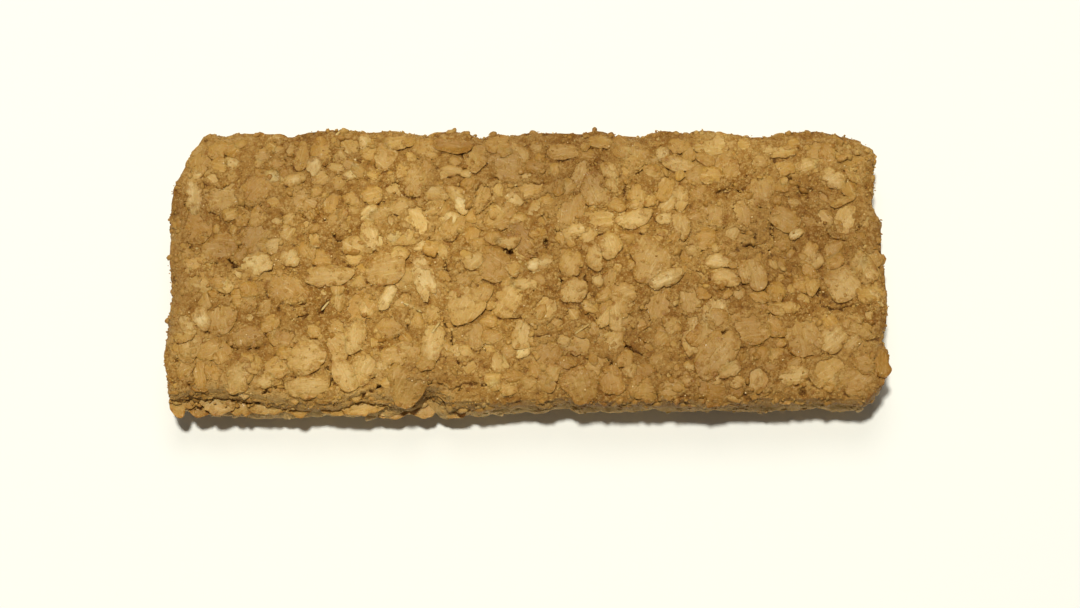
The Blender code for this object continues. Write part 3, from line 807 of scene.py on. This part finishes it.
def lay_shown_flakes(bed, pile, chance):
    press = Press(1.0, 1.0, SHOWN_COVER, 0.05)
    for x, y, length, width, turn, tone, gold, rise in SHOWN_FLAKES:
        flake = Flake(chance, length * MM, width * MM, False)
        lift = SHOWN_RISE * rise * MM
        lay_flake(bed, pile, flake, x * MM, y * MM, math.radians(turn), tone, gold, lift, press, chance)
    for x, y, length, width, turn, tone, gold, rise, curl in CURLED_FLAKES:
        flake = Flake(chance, length * MM, width * MM, False, curl)
        lay_flake(bed, pile, flake, x * MM, y * MM, math.radians(turn), tone, gold, rise * MM, press, chance)


# ---------------------------------------------------------------- core

def upper_faces(sheet, wanted):
    """Faces of the top whose middles pass a test."""
    top = [face for face in sheet.faces if face.normal.z > 0.6 and face.calc_center_median().z > 6.0 * MM]
    middles = np.array([face.calc_center_median() for face in top])
    return [face for face, keep in zip(top, wanted(middles[:, 0], middles[:, 1])) if keep]


def halve_faces(sheet, faces):
    edges = list({edge for face in faces for edge in face.edges})
    bmesh.ops.subdivide_edges(sheet, edges=edges, cuts=1, use_grid_fill=True)


def refine_top(mesh, top):
    """Halve the faces of the top where the paste shows, and halve them again along the cracks."""
    sheet = bmesh.new()
    sheet.from_mesh(mesh)
    sheet.normal_update()
    buried = blurred((top.skin > top.paste + COVER_DEPTH / 2).astype(float), 1)
    halve_faces(sheet, upper_faces(sheet, lambda x, y: top.sample(buried, x, y) < 0.95))
    sheet.normal_update()
    halve_faces(sheet, upper_faces(sheet, lambda x, y: crack_depth(x, y) > FINE_CRACK))
    bmesh.ops.triangulate(sheet, faces=sheet.faces)
    sheet.to_mesh(mesh)
    sheet.free()


def smooth_core(node):
    """The CAD solid as a fine, even mesh, without its facets."""
    source = link(bpy.data.objects.new("core_source", node.data.copy()))
    remesh = source.modifiers.new("remesh", "REMESH")
    remesh.mode = "VOXEL"
    remesh.voxel_size = VOXEL
    smooth = source.modifiers.new("smooth", "SMOOTH")
    smooth.factor = 0.5
    smooth.iterations = CORE_SMOOTHING
    mesh = evaluated_mesh(source)
    bpy.data.objects.remove(source)
    return mesh


def mesh_tree(mesh):
    faces = [face.vertices for face in mesh.polygons]
    return BVHTree.FromPolygons([vert.co for vert in mesh.vertices], faces)


def wall_relief(places):
    """In and out of the wall: level layers of pressed oats, lumps and grains."""
    layers = field(places * WALL_LAYERING, WALL_LAYER_SIZE, 4)
    warp = WALL_WARP * np.stack([field(places, WALL_WARP_SIZE, seed) for seed in (1, 2, 3)], axis=1)
    coarse = lumps((places + warp) * WALL_LUMP_SHAPE, WALL_LUMP_SIZE, 5)
    fine = field(places, WALL_GRAIN_SIZE, 6)
    return WALL_LAYER * layers + WALL_LUMP * (coarse - 0.5) + WALL_GRAIN * fine


def front_layers(height):
    """1 on the layers between the crust and the foot, 0 on the crust and at the foot."""
    return ease((height - 1.0 * MM) / (2.4 * MM)) * ease((8.0 * MM - height) / (1.6 * MM))


def oat_mass(mesh, top, under, material):
    """The baked mass: top and underside follow their paste, and the wall is broken into layers and crumbs."""
    refine_top(mesh, top)
    places, normals = vertex_array(mesh), normal_array(mesh)
    x, y = places[:, 0], places[:, 1]
    upward = ease((normals[:, 2] - 0.25) / 0.45) * (places[:, 2] > TOP_FROM)
    downward = ease((-normals[:, 2] - 0.5) / 0.4) * (places[:, 2] < UNDER_TO)
    wall = 1.0 - upward - downward
    relief = wall_relief(places)
    stand = FRONT_STANDOUT * front_layers(places[:, 2]) * ease(-normals[:, 1])
    moved = places + normals * ((relief + stand - WALL_INSET) * wall)[:, None]
    crack = crack_depth(x, y)
    moved[:, 2] += upward * (top.sample(top.paste, x, y) - crack - CORE_INSET - places[:, 2])
    moved[:, 2] += downward * (-under.sample(under.paste, x, y) - places[:, 2])
    moved[:, 2] = np.maximum(moved[:, 2], FLOOR_GAP)
    # How sunk each point is, cracks counted as sunk, kept in the look for painted shade in hollows and cracks
    # and painted light on lumps
    cavity = upward * top.sample(top.cavity, x, y) + downward * under.sample(under.cavity, x, y)
    cavity += wall * np.clip(0.15 + relief / (0.6 * MM), -1.0, 1.0)
    cavity = np.clip(cavity - upward * crack / (0.25 * MM), -1.0, 1.0)
    mesh.vertices.foreach_set("co", moved.ravel())
    mesh.update()
    mesh.shade_smooth()
    mesh.name = "oat_mass"
    write_attribute(mesh, "look", np.stack([0.5 + 0.5 * cavity, wall, upward], axis=1))
    mesh.materials.clear()
    mesh.materials.append(material)
    mass = link(bpy.data.objects.new("oat_mass", mesh))
    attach(mass, BODY)
    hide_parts(NODE)
    return mass


# ---------------------------------------------------------------- wall flakes

def surface_places(mesh, chance, count, wanted):
    """Random places on the faces of a mesh that pass a test, with their outward normals."""
    mesh.calc_loop_triangles()
    triangles = np.empty(len(mesh.loop_triangles) * 3, np.int32)
    mesh.loop_triangles.foreach_get("vertices", triangles)
    corners = vertex_array(mesh)[triangles.reshape(-1, 3)]
    cross = np.cross(corners[:, 1] - corners[:, 0], corners[:, 2] - corners[:, 0])
    area = np.linalg.norm(cross, axis=1)
    normals = cross / np.maximum(area, 1e-18)[:, None]
    weight = area * wanted(corners.mean(axis=1), normals)
    chosen = chance.choice(len(area), count, p=weight / weight.sum())
    a, b = chance.uniform(size=(2, count))
    over = a + b > 1
    a, b = np.where(over, 1 - a, a), np.where(over, 1 - b, b)
    triangle = corners[chosen]
    places = triangle[:, 0] + a[:, None] * (triangle[:, 1] - triangle[:, 0])
    places += b[:, None] * (triangle[:, 2] - triangle[:, 0])
    return places, normals[chosen]


def on_wall(centres, normals):
    """Likelihood of a place on the wall, greater near the crust than low down."""
    wall = (np.abs(normals[:, 2]) < 0.7) & (centres[:, 2] > 0.5 * MM)
    return wall * (1.0 + ease((centres[:, 2] - FOOT_HEIGHT) / (CRUST_HEIGHT - FOOT_HEIGHT)))


def inner_share(height, chance):
    """How much of the inside's pale look an oat on the wall has: none at the crust, most low down."""
    return float(ease((CRUST_HEIGHT - height) / (CRUST_HEIGHT - FOOT_HEIGHT)) * chance.uniform(0.5, 1.0))


def wall_flakes(mesh, tree, pile, chance, tallest):
    """Flakes in the pressed layers, lying nearly level, whose edges show on the wall."""
    places, normals = surface_places(mesh, chance, WALL_FLAKES, on_wall)
    for place, normal in zip(places, normals):
        flake = random_flake(chance, WALL_LENGTH, True)
        spin = chance.uniform(0, 2 * math.pi)
        facing = math.atan2(normal[1], normal[0])
        depth = float(flake.radius(np.array(facing - spin))) - chance.uniform(*WALL_REACH)
        px, py, half, ring, faces = flake.points()
        pz = flake.bend(px, py) + half
        lean_x = Matrix.Rotation(chance.normal(0, WALL_TILT), 3, "X")
        tilt = lean_x @ Matrix.Rotation(chance.normal(0, WALL_TILT), 3, "Y")
        turn = np.array(tilt @ Matrix.Rotation(spin, 3, "Z"))
        middle = place - depth * np.array((math.cos(facing), math.sin(facing), 0.0))
        middle[2] = min(middle[2], tallest - WALL_CEILING)
        points = np.stack([px, py, pz], axis=1) @ turn.T + middle
        if stands_out(tree, points, ring, WALL_STANDOUT):
            continue
        points[:, 2] = np.maximum(points[:, 2], 0.0)
        inner = inner_share(place[2], chance)
        tone = min(flake_tone(chance) + WALL_PALER, 1.0)
        gold = -inner if inner > 0.0 else 0.7 * chance.uniform()
        pile.add(points, faces, flake_grain(chance, px, py), flake_look(tone, ring, gold))


def ledge_flakes(pile, chance):
    """Listed flakes lying nearly level on the layers under the crust, tipped down a little to the front."""
    for x, y, height, length, width, turn, tone, gold in LEDGE_FLAKES:
        flake = Flake(chance, length * MM, width * MM, False)
        px, py, half, ring, faces = flake.points()
        points = np.stack([px, py, flake.bend(px, py) + half], axis=1)
        turned = np.array(Matrix.Rotation(LEDGE_LEAN, 3, "X") @ Matrix.Rotation(math.radians(turn), 3, "Z"))
        points = points @ turned.T + np.array((x, y, height)) * MM
        pile.add(points, faces, flake_grain(chance, px, py), flake_look(tone, ring, gold))


# ---------------------------------------------------------------- crumbs, straws and sugar

def ball(subdivisions):
    """Points and triangles of a ball of radius 1."""
    sheet = bmesh.new()
    bmesh.ops.create_icosphere(sheet, subdivisions=subdivisions, radius=1.0)
    points = np.array([vert.co for vert in sheet.verts])
    faces = np.array([[vert.index for vert in face.verts] for face in sheet.faces])
    sheet.free()
    return points, faces


def add_crumbs(pile, template, places, normals, sizes, sunk, chance):
    """Uneven flattened lumps set into the surface at places: some are paste, some are oat."""
    points, faces = template
    for place, normal, size in zip(places, normals, sizes):
        lumpy = points * (1.0 + chance.uniform(-0.24, 0.24, (len(points), 1)))
        stretch = np.array([chance.uniform(0.9, 1.5), chance.uniform(0.7, 1.1), chance.uniform(0.45, 0.85)])
        lean = Vector((0, 0, 1)).rotation_difference(Vector(normal + chance.normal(0, 0.25, 3))).to_matrix()
        turn = np.array(lean @ Matrix.Rotation(chance.uniform(0, 2 * math.pi), 3, "Z"))
        shaped = lumpy * stretch * size @ turn.T + place + normal * size * stretch[2] * (1.0 - 2.0 * sunk)
        shaped[:, 2] = np.maximum(shaped[:, 2], 0.0)
        gold = -inner_share(place[2], chance) if abs(normal[2]) < 0.7 else chance.uniform()
        look = np.tile((flake_tone(chance), ease(chance.uniform()), gold), (len(points), 1))
        pile.add(shaped, faces, points * size / MM + chance.uniform(0, 40), look)


def crumb_sizes(chance, count, sizes):
    return chance.uniform(0, 1, count) ** 2 * (sizes[1] - sizes[0]) + sizes[0]


def crumbs_on_ledge(pile, template, chance):
    """Crumbs caught in the gap between the crust and the ledge under it."""
    spans = (LEDGE_SPAN, LEDGE_GAP, LEDGE_LEVEL)
    places = np.stack([chance.uniform(*span, LEDGE_CRUMBS) for span in spans], axis=1)
    upright = np.tile((0.0, 0.0, 1.0), (LEDGE_CRUMBS, 1))
    sizes = crumb_sizes(chance, LEDGE_CRUMBS, LEDGE_CRUMB_SIZE)
    add_crumbs(pile, template, places, upright, sizes, 0.5, chance)


def bed_normals(bed, x, y):
    dx = bed.sample(bed.smooth, x + CELL, y) - bed.sample(bed.smooth, x - CELL, y)
    dy = bed.sample(bed.smooth, x, y + CELL) - bed.sample(bed.smooth, x, y - CELL)
    normals = np.stack([-dx, -dy, np.full_like(dx, 2 * CELL)], axis=1)
    return normals / np.linalg.norm(normals, axis=1)[:, None] * (1, 1, bed.side)


def bed_places(bed, chance, count, on_flakes):
    """Places on a side of the bar, on the paste, and on flakes with a given likelihood."""
    found = np.empty((0, 2))
    while len(found) < count:
        x = chance.uniform(bed.low.x, bed.high.x, count)
        y = chance.uniform(bed.low.y, bed.high.y, count)
        i = ((x - bed.x0) / CELL).round().astype(int)
        j = ((y - bed.y0) / CELL).round().astype(int)
        likely = np.where(bed.skin[i, j] > bed.paste[i, j], on_flakes, 1.0)
        keep = bed.solid[i, j] & (chance.uniform(size=count) < likely) & (bed.crack[i, j] < CRUMB_FREE_CRACK)
        found = np.concatenate([found, np.stack([x, y], axis=1)[keep]])
    x, y = found[:count].T
    return np.stack([x, y, bed.sample(bed.surface, x, y) * bed.side], axis=1), bed_normals(bed, x, y)


def crumbs_on_bed(bed, pile, template, chance, total, share, sizes, sunk, on_flakes):
    count = int(total * share)
    places, normals = bed_places(bed, chance, count, on_flakes)
    add_crumbs(pile, template, places, normals, crumb_sizes(chance, count, sizes), sunk, chance)


def crumbs_on_wall(mesh, pile, template, chance, total, share, sizes, sunk):
    count = int(total * share)
    places, normals = surface_places(mesh, chance, count, on_wall)
    add_crumbs(pile, template, places, normals, crumb_sizes(chance, count, sizes), sunk, chance)


def add_straw(bed, pile, x, y, length, turn, chance):
    """A thin straight strip of husk lying on a side of the bar, pointed at both ends."""
    steps, sides = 9, 6
    t = np.linspace(-1, 1, steps)
    body = np.sqrt(np.clip(1.0 - t ** 4, 0.02, 1.0))
    ring = np.arange(sides) * 2 * math.pi / sides
    along = np.repeat(t * length / 2, sides)
    across = (body[:, None] * STRAW_HALF_WIDTH * np.cos(ring)).ravel()
    thick = (body[:, None] * STRAW_HALF_THICKNESS * np.sin(ring)).ravel()
    wx = x + along * math.cos(turn) - across * math.sin(turn)
    wy = y + along * math.sin(turn) + across * math.cos(turn)
    line_x, line_y = x + t * length / 2 * math.cos(turn), y + t * length / 2 * math.sin(turn)
    line = bed.sample(bed.smooth, line_x, line_y)
    slope, _, level = plane_fit(t, np.zeros_like(t), line)
    wz = level + np.repeat(slope * t, sides) + thick + STRAW_LIFT
    points = np.stack([wx, wy, bed.side * wz], axis=1)
    faces = []
    for k in range(steps - 1):
        for m in range(sides):
            n = (m + 1) % sides
            a, b, c, d = k * sides + m, k * sides + n, (k + 1) * sides + n, (k + 1) * sides + m
            faces += [(a, c, b), (a, d, c)]
    last = (steps - 1) * sides
    for m in range(1, sides - 1):
        faces.append((0, m, m + 1))
        faces.append((last, last + m + 1, last + m))
    points[:, 2] = np.maximum(points[:, 2], 0.0)
    look = flake_look(0.88, np.full_like(along, 0.4), 0.3)
    pile.add(points, np.array(faces)[:, ::bed.side], flake_grain(chance, along, across), look)


def add_straws(top, under, pile, chance):
    for x, y, length, turn in STRAWS:
        add_straw(top, pile, x * MM, y * MM, length * MM, math.radians(turn), chance)
    for bed in (top, under):
        places, _ = bed_places(bed, chance, LOOSE_STRAWS, 0.3)
        for x, y, _ in places:
            add_straw(bed, pile, x, y, chance.uniform(0.7, 1.3) * MM, chance.uniform(0, math.pi), chance)


def sugar_on_bed(bed, pile, chance, count):
    """Small blocky crystals."""
    sheet = bmesh.new()
    bmesh.ops.create_cube(sheet, size=1.0)
    bmesh.ops.triangulate(sheet, faces=sheet.faces)
    points = np.array([vert.co for vert in sheet.verts])
    faces = np.array([[vert.index for vert in face.verts] for face in sheet.faces])
    sheet.free()
    places, normals = bed_places(bed, chance, count, 0.4)
    for place, normal in zip(places, normals):
        size = chance.uniform(0.10, 0.24, 3) * MM
        turn = Matrix.Rotation(chance.uniform(0, math.pi), 3, Vector(chance.normal(size=3)).normalized())
        shaped = points * size @ np.array(turn).T + place + normal * 0.02 * MM
        look = np.tile((1.0, 0.0, chance.uniform()), (len(points), 1))
        pile.add(shaped, faces, points * size / MM, look)


# ---------------------------------------------------------------- materials

class Nodes:
    """Short ways to add shader nodes to a material."""

    def __init__(self, name):
        self.material = bpy.data.materials.new(name)
        self.material.use_nodes = True
        self.tree = self.material.node_tree
        self.shader = self.tree.nodes["Principled BSDF"]

    def new(self, kind, **settings):
        node = self.tree.nodes.new("ShaderNode" + kind)
        for key, value in settings.items():
            setattr(node, key, value)
        return node

    def join(self, output, socket):
        self.tree.links.new(output, socket)

    def feed(self, value, socket):
        """Link a value that comes from a node, or set a plain one."""
        if hasattr(value, "is_output"):
            self.join(value, socket)
        else:
            socket.default_value = value

    def place(self):
        """Coordinates on the object, in mm."""
        return self.scaled(self.new("TexCoord").outputs["Object"], (1 / MM, 1 / MM, 1 / MM))

    def scaled(self, vector, scale):
        mapping = self.new("Mapping")
        mapping.inputs["Scale"].default_value = scale
        self.join(vector, mapping.inputs["Vector"])
        return mapping.outputs["Vector"]

    def parts(self, name):
        """The three numbers of an attribute."""
        node = self.new("SeparateXYZ")
        self.join(self.attribute(name), node.inputs["Vector"])
        return node.outputs

    def attribute(self, name):
        return self.new("Attribute", attribute_name=name).outputs["Vector"]

    def noise(self, vector, scale, detail=2.0, roughness=0.5, distortion=0.0):
        node = self.new("TexNoise")
        node.inputs["Scale"].default_value = scale
        node.inputs["Detail"].default_value = detail
        node.inputs["Roughness"].default_value = roughness
        node.inputs["Distortion"].default_value = distortion
        self.join(vector, node.inputs["Vector"])
        return node.outputs["Fac"]

    def ramp(self, value, stops):
        node = self.new("ValToRGB")
        points = node.color_ramp.elements
        while len(points) < len(stops):
            points.new(0.5)
        for point, (at, colour) in zip(points, stops):
            point.position = at
            point.color = colour
        self.join(value, node.inputs["Fac"])
        return node.outputs["Color"]

    def mix(self, share, a, b, blend="MIX"):
        node = self.new("Mix", data_type="RGBA", blend_type=blend)
        for socket, value in ((0, share), (6, a), (7, b)):
            self.feed(value, node.inputs[socket])
        return node.outputs[2]

    def math(self, operation, a, b=0.0):
        node = self.new("Math", operation=operation)
        self.feed(a, node.inputs[0])
        self.feed(b, node.inputs[1])
        return node.outputs[0]

    def spread(self, value, low, high, to_low=0.0, to_high=1.0):
        node = self.new("MapRange")
        self.join(value, node.inputs["Value"])
        for name, number in (("From Min", low), ("From Max", high), ("To Min", to_low), ("To Max", to_high)):
            node.inputs[name].default_value = number
        return node.outputs["Result"]

    def bump(self, height, distance, after=None):
        node = self.new("Bump")
        node.inputs["Distance"].default_value = distance
        self.join(height, node.inputs["Height"])
        if after is not None:
            self.join(after, node.inputs["Normal"])
        return node.outputs["Normal"]

    def soften(self, weight, depth):
        """Let a little light into the surface."""
        self.shader.inputs["Subsurface Weight"].default_value = weight
        self.shader.inputs["Subsurface Radius"].default_value = (1.0, 0.55, 0.25)
        self.shader.inputs["Subsurface Scale"].default_value = depth


def rgb(red, green, blue):
    """A colour given as it looks on a screen, 0 to 255, as a linear shader colour."""
    values = []
    for part in (red, green, blue):
        share = part / 255
        values.append(share / 12.92 if share <= 0.04045 else ((share + 0.055) / 1.055) ** 2.4)
    return (*values, 1.0)


def uneven_bake(m, place, base):
    """Broad patches where the whole surface baked a little darker or paler."""
    share = m.spread(m.noise(place, 0.055, 2.0, 0.5), 0.36, 0.64)
    return m.mix(share, base, m.mix(0.85, base, rgb(214, 205, 192), "MULTIPLY"))


def paste_colour(m, place, detail=4.0):
    """Uneven golden brown of the baked paste, with pale flour specks and darker toasted spots."""
    broad = m.noise(place, 0.16, 3.0, 0.6)
    stops = ((0.0, rgb(*PASTE_DARK)), (0.5, rgb(*PASTE)), (1.0, rgb(*PASTE_PALE)))
    base = m.ramp(m.spread(broad, 0.36, 0.64), stops)
    specks = m.noise(place, 1.9, detail, 0.7)
    base = m.mix(m.spread(specks, 0.52, 0.66, 0.0, 0.85), base, rgb(*FLOUR_AND_HIGHLIGHT))
    toasted = m.noise(place, 0.9, detail, 0.7)
    return m.mix(m.spread(toasted, 0.54, 0.70, 0.0, 0.8), base, rgb(*TOASTED))


def oat_colour(m, tone, gold):
    """Plain or golden oat of a tone. Below 0, gold tells how pale and grey the oat is, as inside the bar."""
    plain = m.ramp(tone, tuple((at, rgb(*colour)) for at, colour in FLAKE_PLAIN))
    golden = m.ramp(tone, tuple((at, rgb(*colour)) for at, colour in FLAKE_GOLD))
    return m.mix(m.spread(gold, 0.0, -1.0), m.mix(gold, plain, golden), rgb(*INNER_OAT))


def glints(m, place, dull):
    """Roughness of a dull surface with small spots of syrup that shine."""
    wet = m.noise(place, 2.8, 2.0, 0.6)
    return m.spread(wet, 0.60, 0.68, dull, 0.14)


def paste_material():
    """Baked crumbs and syrup: golden brown, paler on the sides, painted shade in its creases, painted light
    on its lumps, small glints.
    """
    m = Nodes("baked_paste")
    place = m.place()
    cavity, side, _ = m.parts("look")
    height = m.new("SeparateXYZ")
    m.join(place, height.inputs["Vector"])
    low = m.spread(height.outputs["Z"], CRUST_HEIGHT / MM, FOOT_HEIGHT / MM, 0.15, 1.0)
    patchy = m.spread(m.noise(place, 0.7, 3.0, 0.6), 0.3, 0.6, 0.55, 1.0)
    pale = m.math("MULTIPLY", m.math("MULTIPLY", side, low), patchy)
    base = m.mix(pale, paste_colour(m, place), rgb(*INNER_PASTE))
    # Painted shade darkens the hollows and cracks, and painted light brightens the raised lumps, as the sunk
    # share in the look attribute says
    fine = m.noise(place, 4.0, 3.0, 0.7)
    hollow = m.math("ADD", cavity, m.spread(fine, 0.3, 0.7, -0.34, 0.34))
    base = m.mix(m.spread(hollow, 0.42, 0.0, 0.0, 0.85), base, rgb(*CREASE_SHADE))
    base = m.mix(m.spread(hollow, 0.60, 1.0, 0.0, 0.65), base, rgb(*FLOUR_AND_HIGHLIGHT))
    m.join(uneven_bake(m, place, base), m.shader.inputs["Base Color"])
    m.join(glints(m, place, 0.62), m.shader.inputs["Roughness"])
    coarse = m.bump(m.noise(place, 2.4, 4.0, 0.75), 0.30 * MM)
    m.join(m.bump(m.noise(place, 7.0, 2.0, 0.6), 0.07 * MM, coarse), m.shader.inputs["Normal"])
    m.soften(0.15, 0.8 * MM)
    m.shader.inputs["Specular IOR Level"].default_value = 0.25
    return m.material


def flake_material():
    """Rolled oats: golden to cream, browned at the rim, with fine lengthwise fibres and smears of paste."""
    m = Nodes("oat_flake")
    tone, rim, gold = m.parts("look")
    grain = m.attribute("grain")
    place = m.place()
    patchy = m.noise(grain, 0.5, 3.0, 0.6)
    toned = m.math("ADD", tone, m.spread(patchy, 0.3, 0.7, -0.10, 0.12))
    base = oat_colour(m, m.math("ADD", toned, m.spread(rim, 0.1, 1.0, 0.04, -0.08)), gold)
    fibres = m.noise(m.scaled(grain, (0.5, 3.2, 1.0)), 1.0, 3.0, 0.6, 0.3)
    base = m.mix(m.spread(fibres, 0.46, 0.70, 0.0, 0.30), base, rgb(*FIBRE))
    base = m.mix(m.spread(fibres, 0.44, 0.28, 0.0, 0.30), base, rgb(*PALE_FIBRE))
    smeared = paste_colour(m, place, 1.0)
    baked = m.spread(gold, -0.6, 0.0)
    edge = m.math("MULTIPLY", m.spread(rim, 0.70, 1.0), m.spread(m.noise(grain, 0.8), 0.35, 0.65, 0.0, 0.75))
    base = m.mix(m.math("MULTIPLY", edge, baked), base, smeared)
    crumbed = m.noise(place, 1.1, 2.0, 0.55)
    near_rim = m.math("ADD", crumbed, m.spread(rim, 0.3, 1.0, -0.08, 0.04))
    cover = m.math("MULTIPLY", m.spread(near_rim, 0.48, 0.64, 0.0, 0.65), baked)
    base = m.mix(cover, base, smeared)
    m.join(uneven_bake(m, place, base), m.shader.inputs["Base Color"])
    m.join(glints(m, grain, 0.48), m.shader.inputs["Roughness"])
    ridges = m.bump(fibres, 0.10 * MM)
    soft = m.bump(m.noise(grain, 0.9, 2.0, 0.5), 0.26 * MM, ridges)
    smears = m.bump(m.spread(near_rim, 0.48, 0.68), 0.12 * MM, soft)
    m.join(m.bump(m.noise(place, 6.0, 2.0, 0.6), 0.04 * MM, smears), m.shader.inputs["Normal"])
    m.soften(0.25, 1.0 * MM)
    m.shader.inputs["Specular IOR Level"].default_value = 0.20
    return m.material


def crumb_material():
    """Crumbs: bits of oat and paste, each its own shade."""
    m = Nodes("crumb")
    tone, baked, gold = m.parts("look")
    place = m.place()
    paste = m.math("ADD", baked, m.spread(m.noise(place, 2.4, 2.0), 0.3, 0.7, -0.25, 0.25))
    paste = m.math("MULTIPLY", paste, m.spread(gold, -0.8, 0.0, 0.3, 1.0))
    base = m.mix(paste, oat_colour(m, tone, gold), paste_colour(m, place))
    m.join(uneven_bake(m, place, base), m.shader.inputs["Base Color"])
    m.join(glints(m, place, 0.58), m.shader.inputs["Roughness"])
    m.join(m.bump(m.noise(place, 4.0, 2.0, 0.6), 0.06 * MM), m.shader.inputs["Normal"])
    m.soften(0.15, 0.8 * MM)
    m.shader.inputs["Specular IOR Level"].default_value = 0.25
    return m.material


def sugar_material():
    """Sugar crystals, clear and a little golden."""
    m = Nodes("sugar_grain")
    place = m.place()
    base = m.ramp(m.noise(place, 1.0, 2.0), ((0.3, rgb(196, 158, 96)), (0.7, rgb(226, 196, 140))))
    m.join(base, m.shader.inputs["Base Color"])
    m.join(m.spread(m.noise(place, 2.0), 0.3, 0.7, 0.12, 0.3), m.shader.inputs["Roughness"])
    m.join(m.bump(m.noise(place, 6.0), 0.02 * MM), m.shader.inputs["Normal"])
    m.shader.inputs["Specular IOR Level"].default_value = 0.7
    return m.material


def floor_material():
    m = Nodes("pale_floor")
    m.shader.inputs["Base Color"].default_value = rgb(*FLOOR)
    m.shader.inputs["Roughness"].default_value = 0.9
    m.shader.inputs["Specular IOR Level"].default_value = 0.1
    return m.material


# ---------------------------------------------------------------- stage

def add_floor():
    bpy.ops.mesh.primitive_plane_add(size=3.0, location=(0, 0, 0))
    floor = bpy.context.object
    floor.name = "floor"
    floor.data.materials.append(floor_material())


def aim(obj, place, target):
    obj.location = place
    obj.rotation_euler = (Vector(target) - Vector(place)).to_track_quat("-Z", "Y").to_euler()


def add_lamp(name, place, size, power):
    data = bpy.data.lights.new(name, "AREA")
    data.shape = "DISK"
    data.size = size
    data.energy = power
    data.color = LAMP_COLOUR
    aim(link(bpy.data.objects.new(name, data)), place, (0, 0, 0))


def add_lights():
    """A lamp nearly overhead, a weaker and broader one behind the bar, and a pale room."""
    add_lamp("key", KEY_PLACE, KEY_SIZE, KEY_POWER)
    add_lamp("fill", FILL_PLACE, FILL_SIZE, FILL_POWER)
    world = bpy.data.worlds.new("soft_room")
    world.use_nodes = True
    back = world.node_tree.nodes["Background"]
    back.inputs["Color"].default_value = ROOM_COLOUR
    back.inputs["Strength"].default_value = ROOM_STRENGTH
    bpy.context.scene.world = world


def add_camera():
    data = bpy.data.cameras.new("camera")
    data.lens = CAMERA_LENS
    data.sensor_width = 36.0
    data.clip_start = 0.01
    camera = link(bpy.data.objects.new("camera", data))
    back = Vector((0.0, -math.cos(CAMERA_ELEVATION), math.sin(CAMERA_ELEVATION)))
    aim(camera, CAMERA_TARGET + CAMERA_DISTANCE * back, CAMERA_TARGET)
    bpy.context.scene.camera = camera


def set_view():
    view = bpy.context.scene.view_settings
    view.view_transform = "Standard"
    view.look = "None"


# ---------------------------------------------------------------- assembly

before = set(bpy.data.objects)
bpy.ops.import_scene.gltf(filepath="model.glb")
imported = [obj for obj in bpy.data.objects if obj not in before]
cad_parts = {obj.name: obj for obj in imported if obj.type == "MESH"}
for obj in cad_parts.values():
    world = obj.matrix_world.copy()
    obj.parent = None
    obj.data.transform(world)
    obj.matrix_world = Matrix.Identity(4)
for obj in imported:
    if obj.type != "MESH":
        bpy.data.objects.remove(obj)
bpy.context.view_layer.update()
low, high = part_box(NODE)
chance = np.random.default_rng(12)

core = smooth_core(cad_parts[NODE])
tree = mesh_tree(core)
top = Bed(tree, low, high, 1)
under = Bed(tree, low, high, -1)
top.crack = crack_depth(*top.grid())

whole, broken, edges, straws = Pile(), Pile(), Pile(), Pile()
coarse, fine, sugar = Pile(), Pile(), Pile()
lay_shown_flakes(top, whole, chance)
for bed, pile, count, is_broken, rise, overlap, overhang, tip in (
        (top, whole, PRESSED_WHOLE, False, (-0.14 * MM, 0.04 * MM), 0.20, 0.06, 0.07),
        (top, broken, PRESSED_BROKEN, True, (-0.14 * MM, 0.10 * MM), 0.45, 0.08, 0.18),
        (under, whole, UNDER_WHOLE, False, (-0.04 * MM, 0.05 * MM), 0.25, 0.08, 0.01),
        (under, broken, UNDER_BROKEN, True, (-0.06 * MM, 0.05 * MM), 0.45, 0.10, 0.02)):
    press = Press(overlap, overhang, COVER_START, tip)
    scatter_flakes(bed, pile, chance, count, is_broken, rise, press)
top.set_paste(paste_relief(*top.grid(), chance))
under.set_paste(np.minimum(UNDER_RELIEF * paste_relief(*under.grid(), chance) - UNDER_SINK, -FLOOR_GAP))

mass = oat_mass(core, top, under, paste_material())
wall_flakes(mass.data, tree, edges, chance, high.z)
ledge_flakes(whole, chance)
add_straws(top, under, straws, chance)
lump, grit = ball(2), ball(1)
crumbs_on_bed(top, coarse, lump, chance, COARSE_CRUMBS, *COARSE_ON_TOP)
crumbs_on_bed(under, coarse, lump, chance, COARSE_CRUMBS, *COARSE_UNDER)
crumbs_on_wall(mass.data, coarse, lump, chance, COARSE_CRUMBS, *COARSE_ON_WALL)
crumbs_on_ledge(coarse, lump, chance)
crumbs_on_bed(top, fine, grit, chance, FINE_CRUMBS, *FINE_ON_TOP)
crumbs_on_bed(under, fine, grit, chance, FINE_CRUMBS, *FINE_UNDER)
crumbs_on_wall(mass.data, fine, grit, chance, FINE_CRUMBS, *FINE_ON_WALL)
sugar_on_bed(top, sugar, chance, SUGAR_GRAINS)

flake_finish = flake_material()
crumb_finish = crumb_material()
whole.build("oat_flakes_whole", flake_finish)
broken.build("oat_flakes_broken", flake_finish)
edges.build("oat_flakes_at_edges", flake_finish)
straws.build("oat_straws", flake_finish)
coarse.build("crumbs_coarse", crumb_finish)
fine.build("crumbs_fine", crumb_finish)
sugar.build("sugar_grains", sugar_material())

add_floor()
add_lights()
add_camera()
set_view()
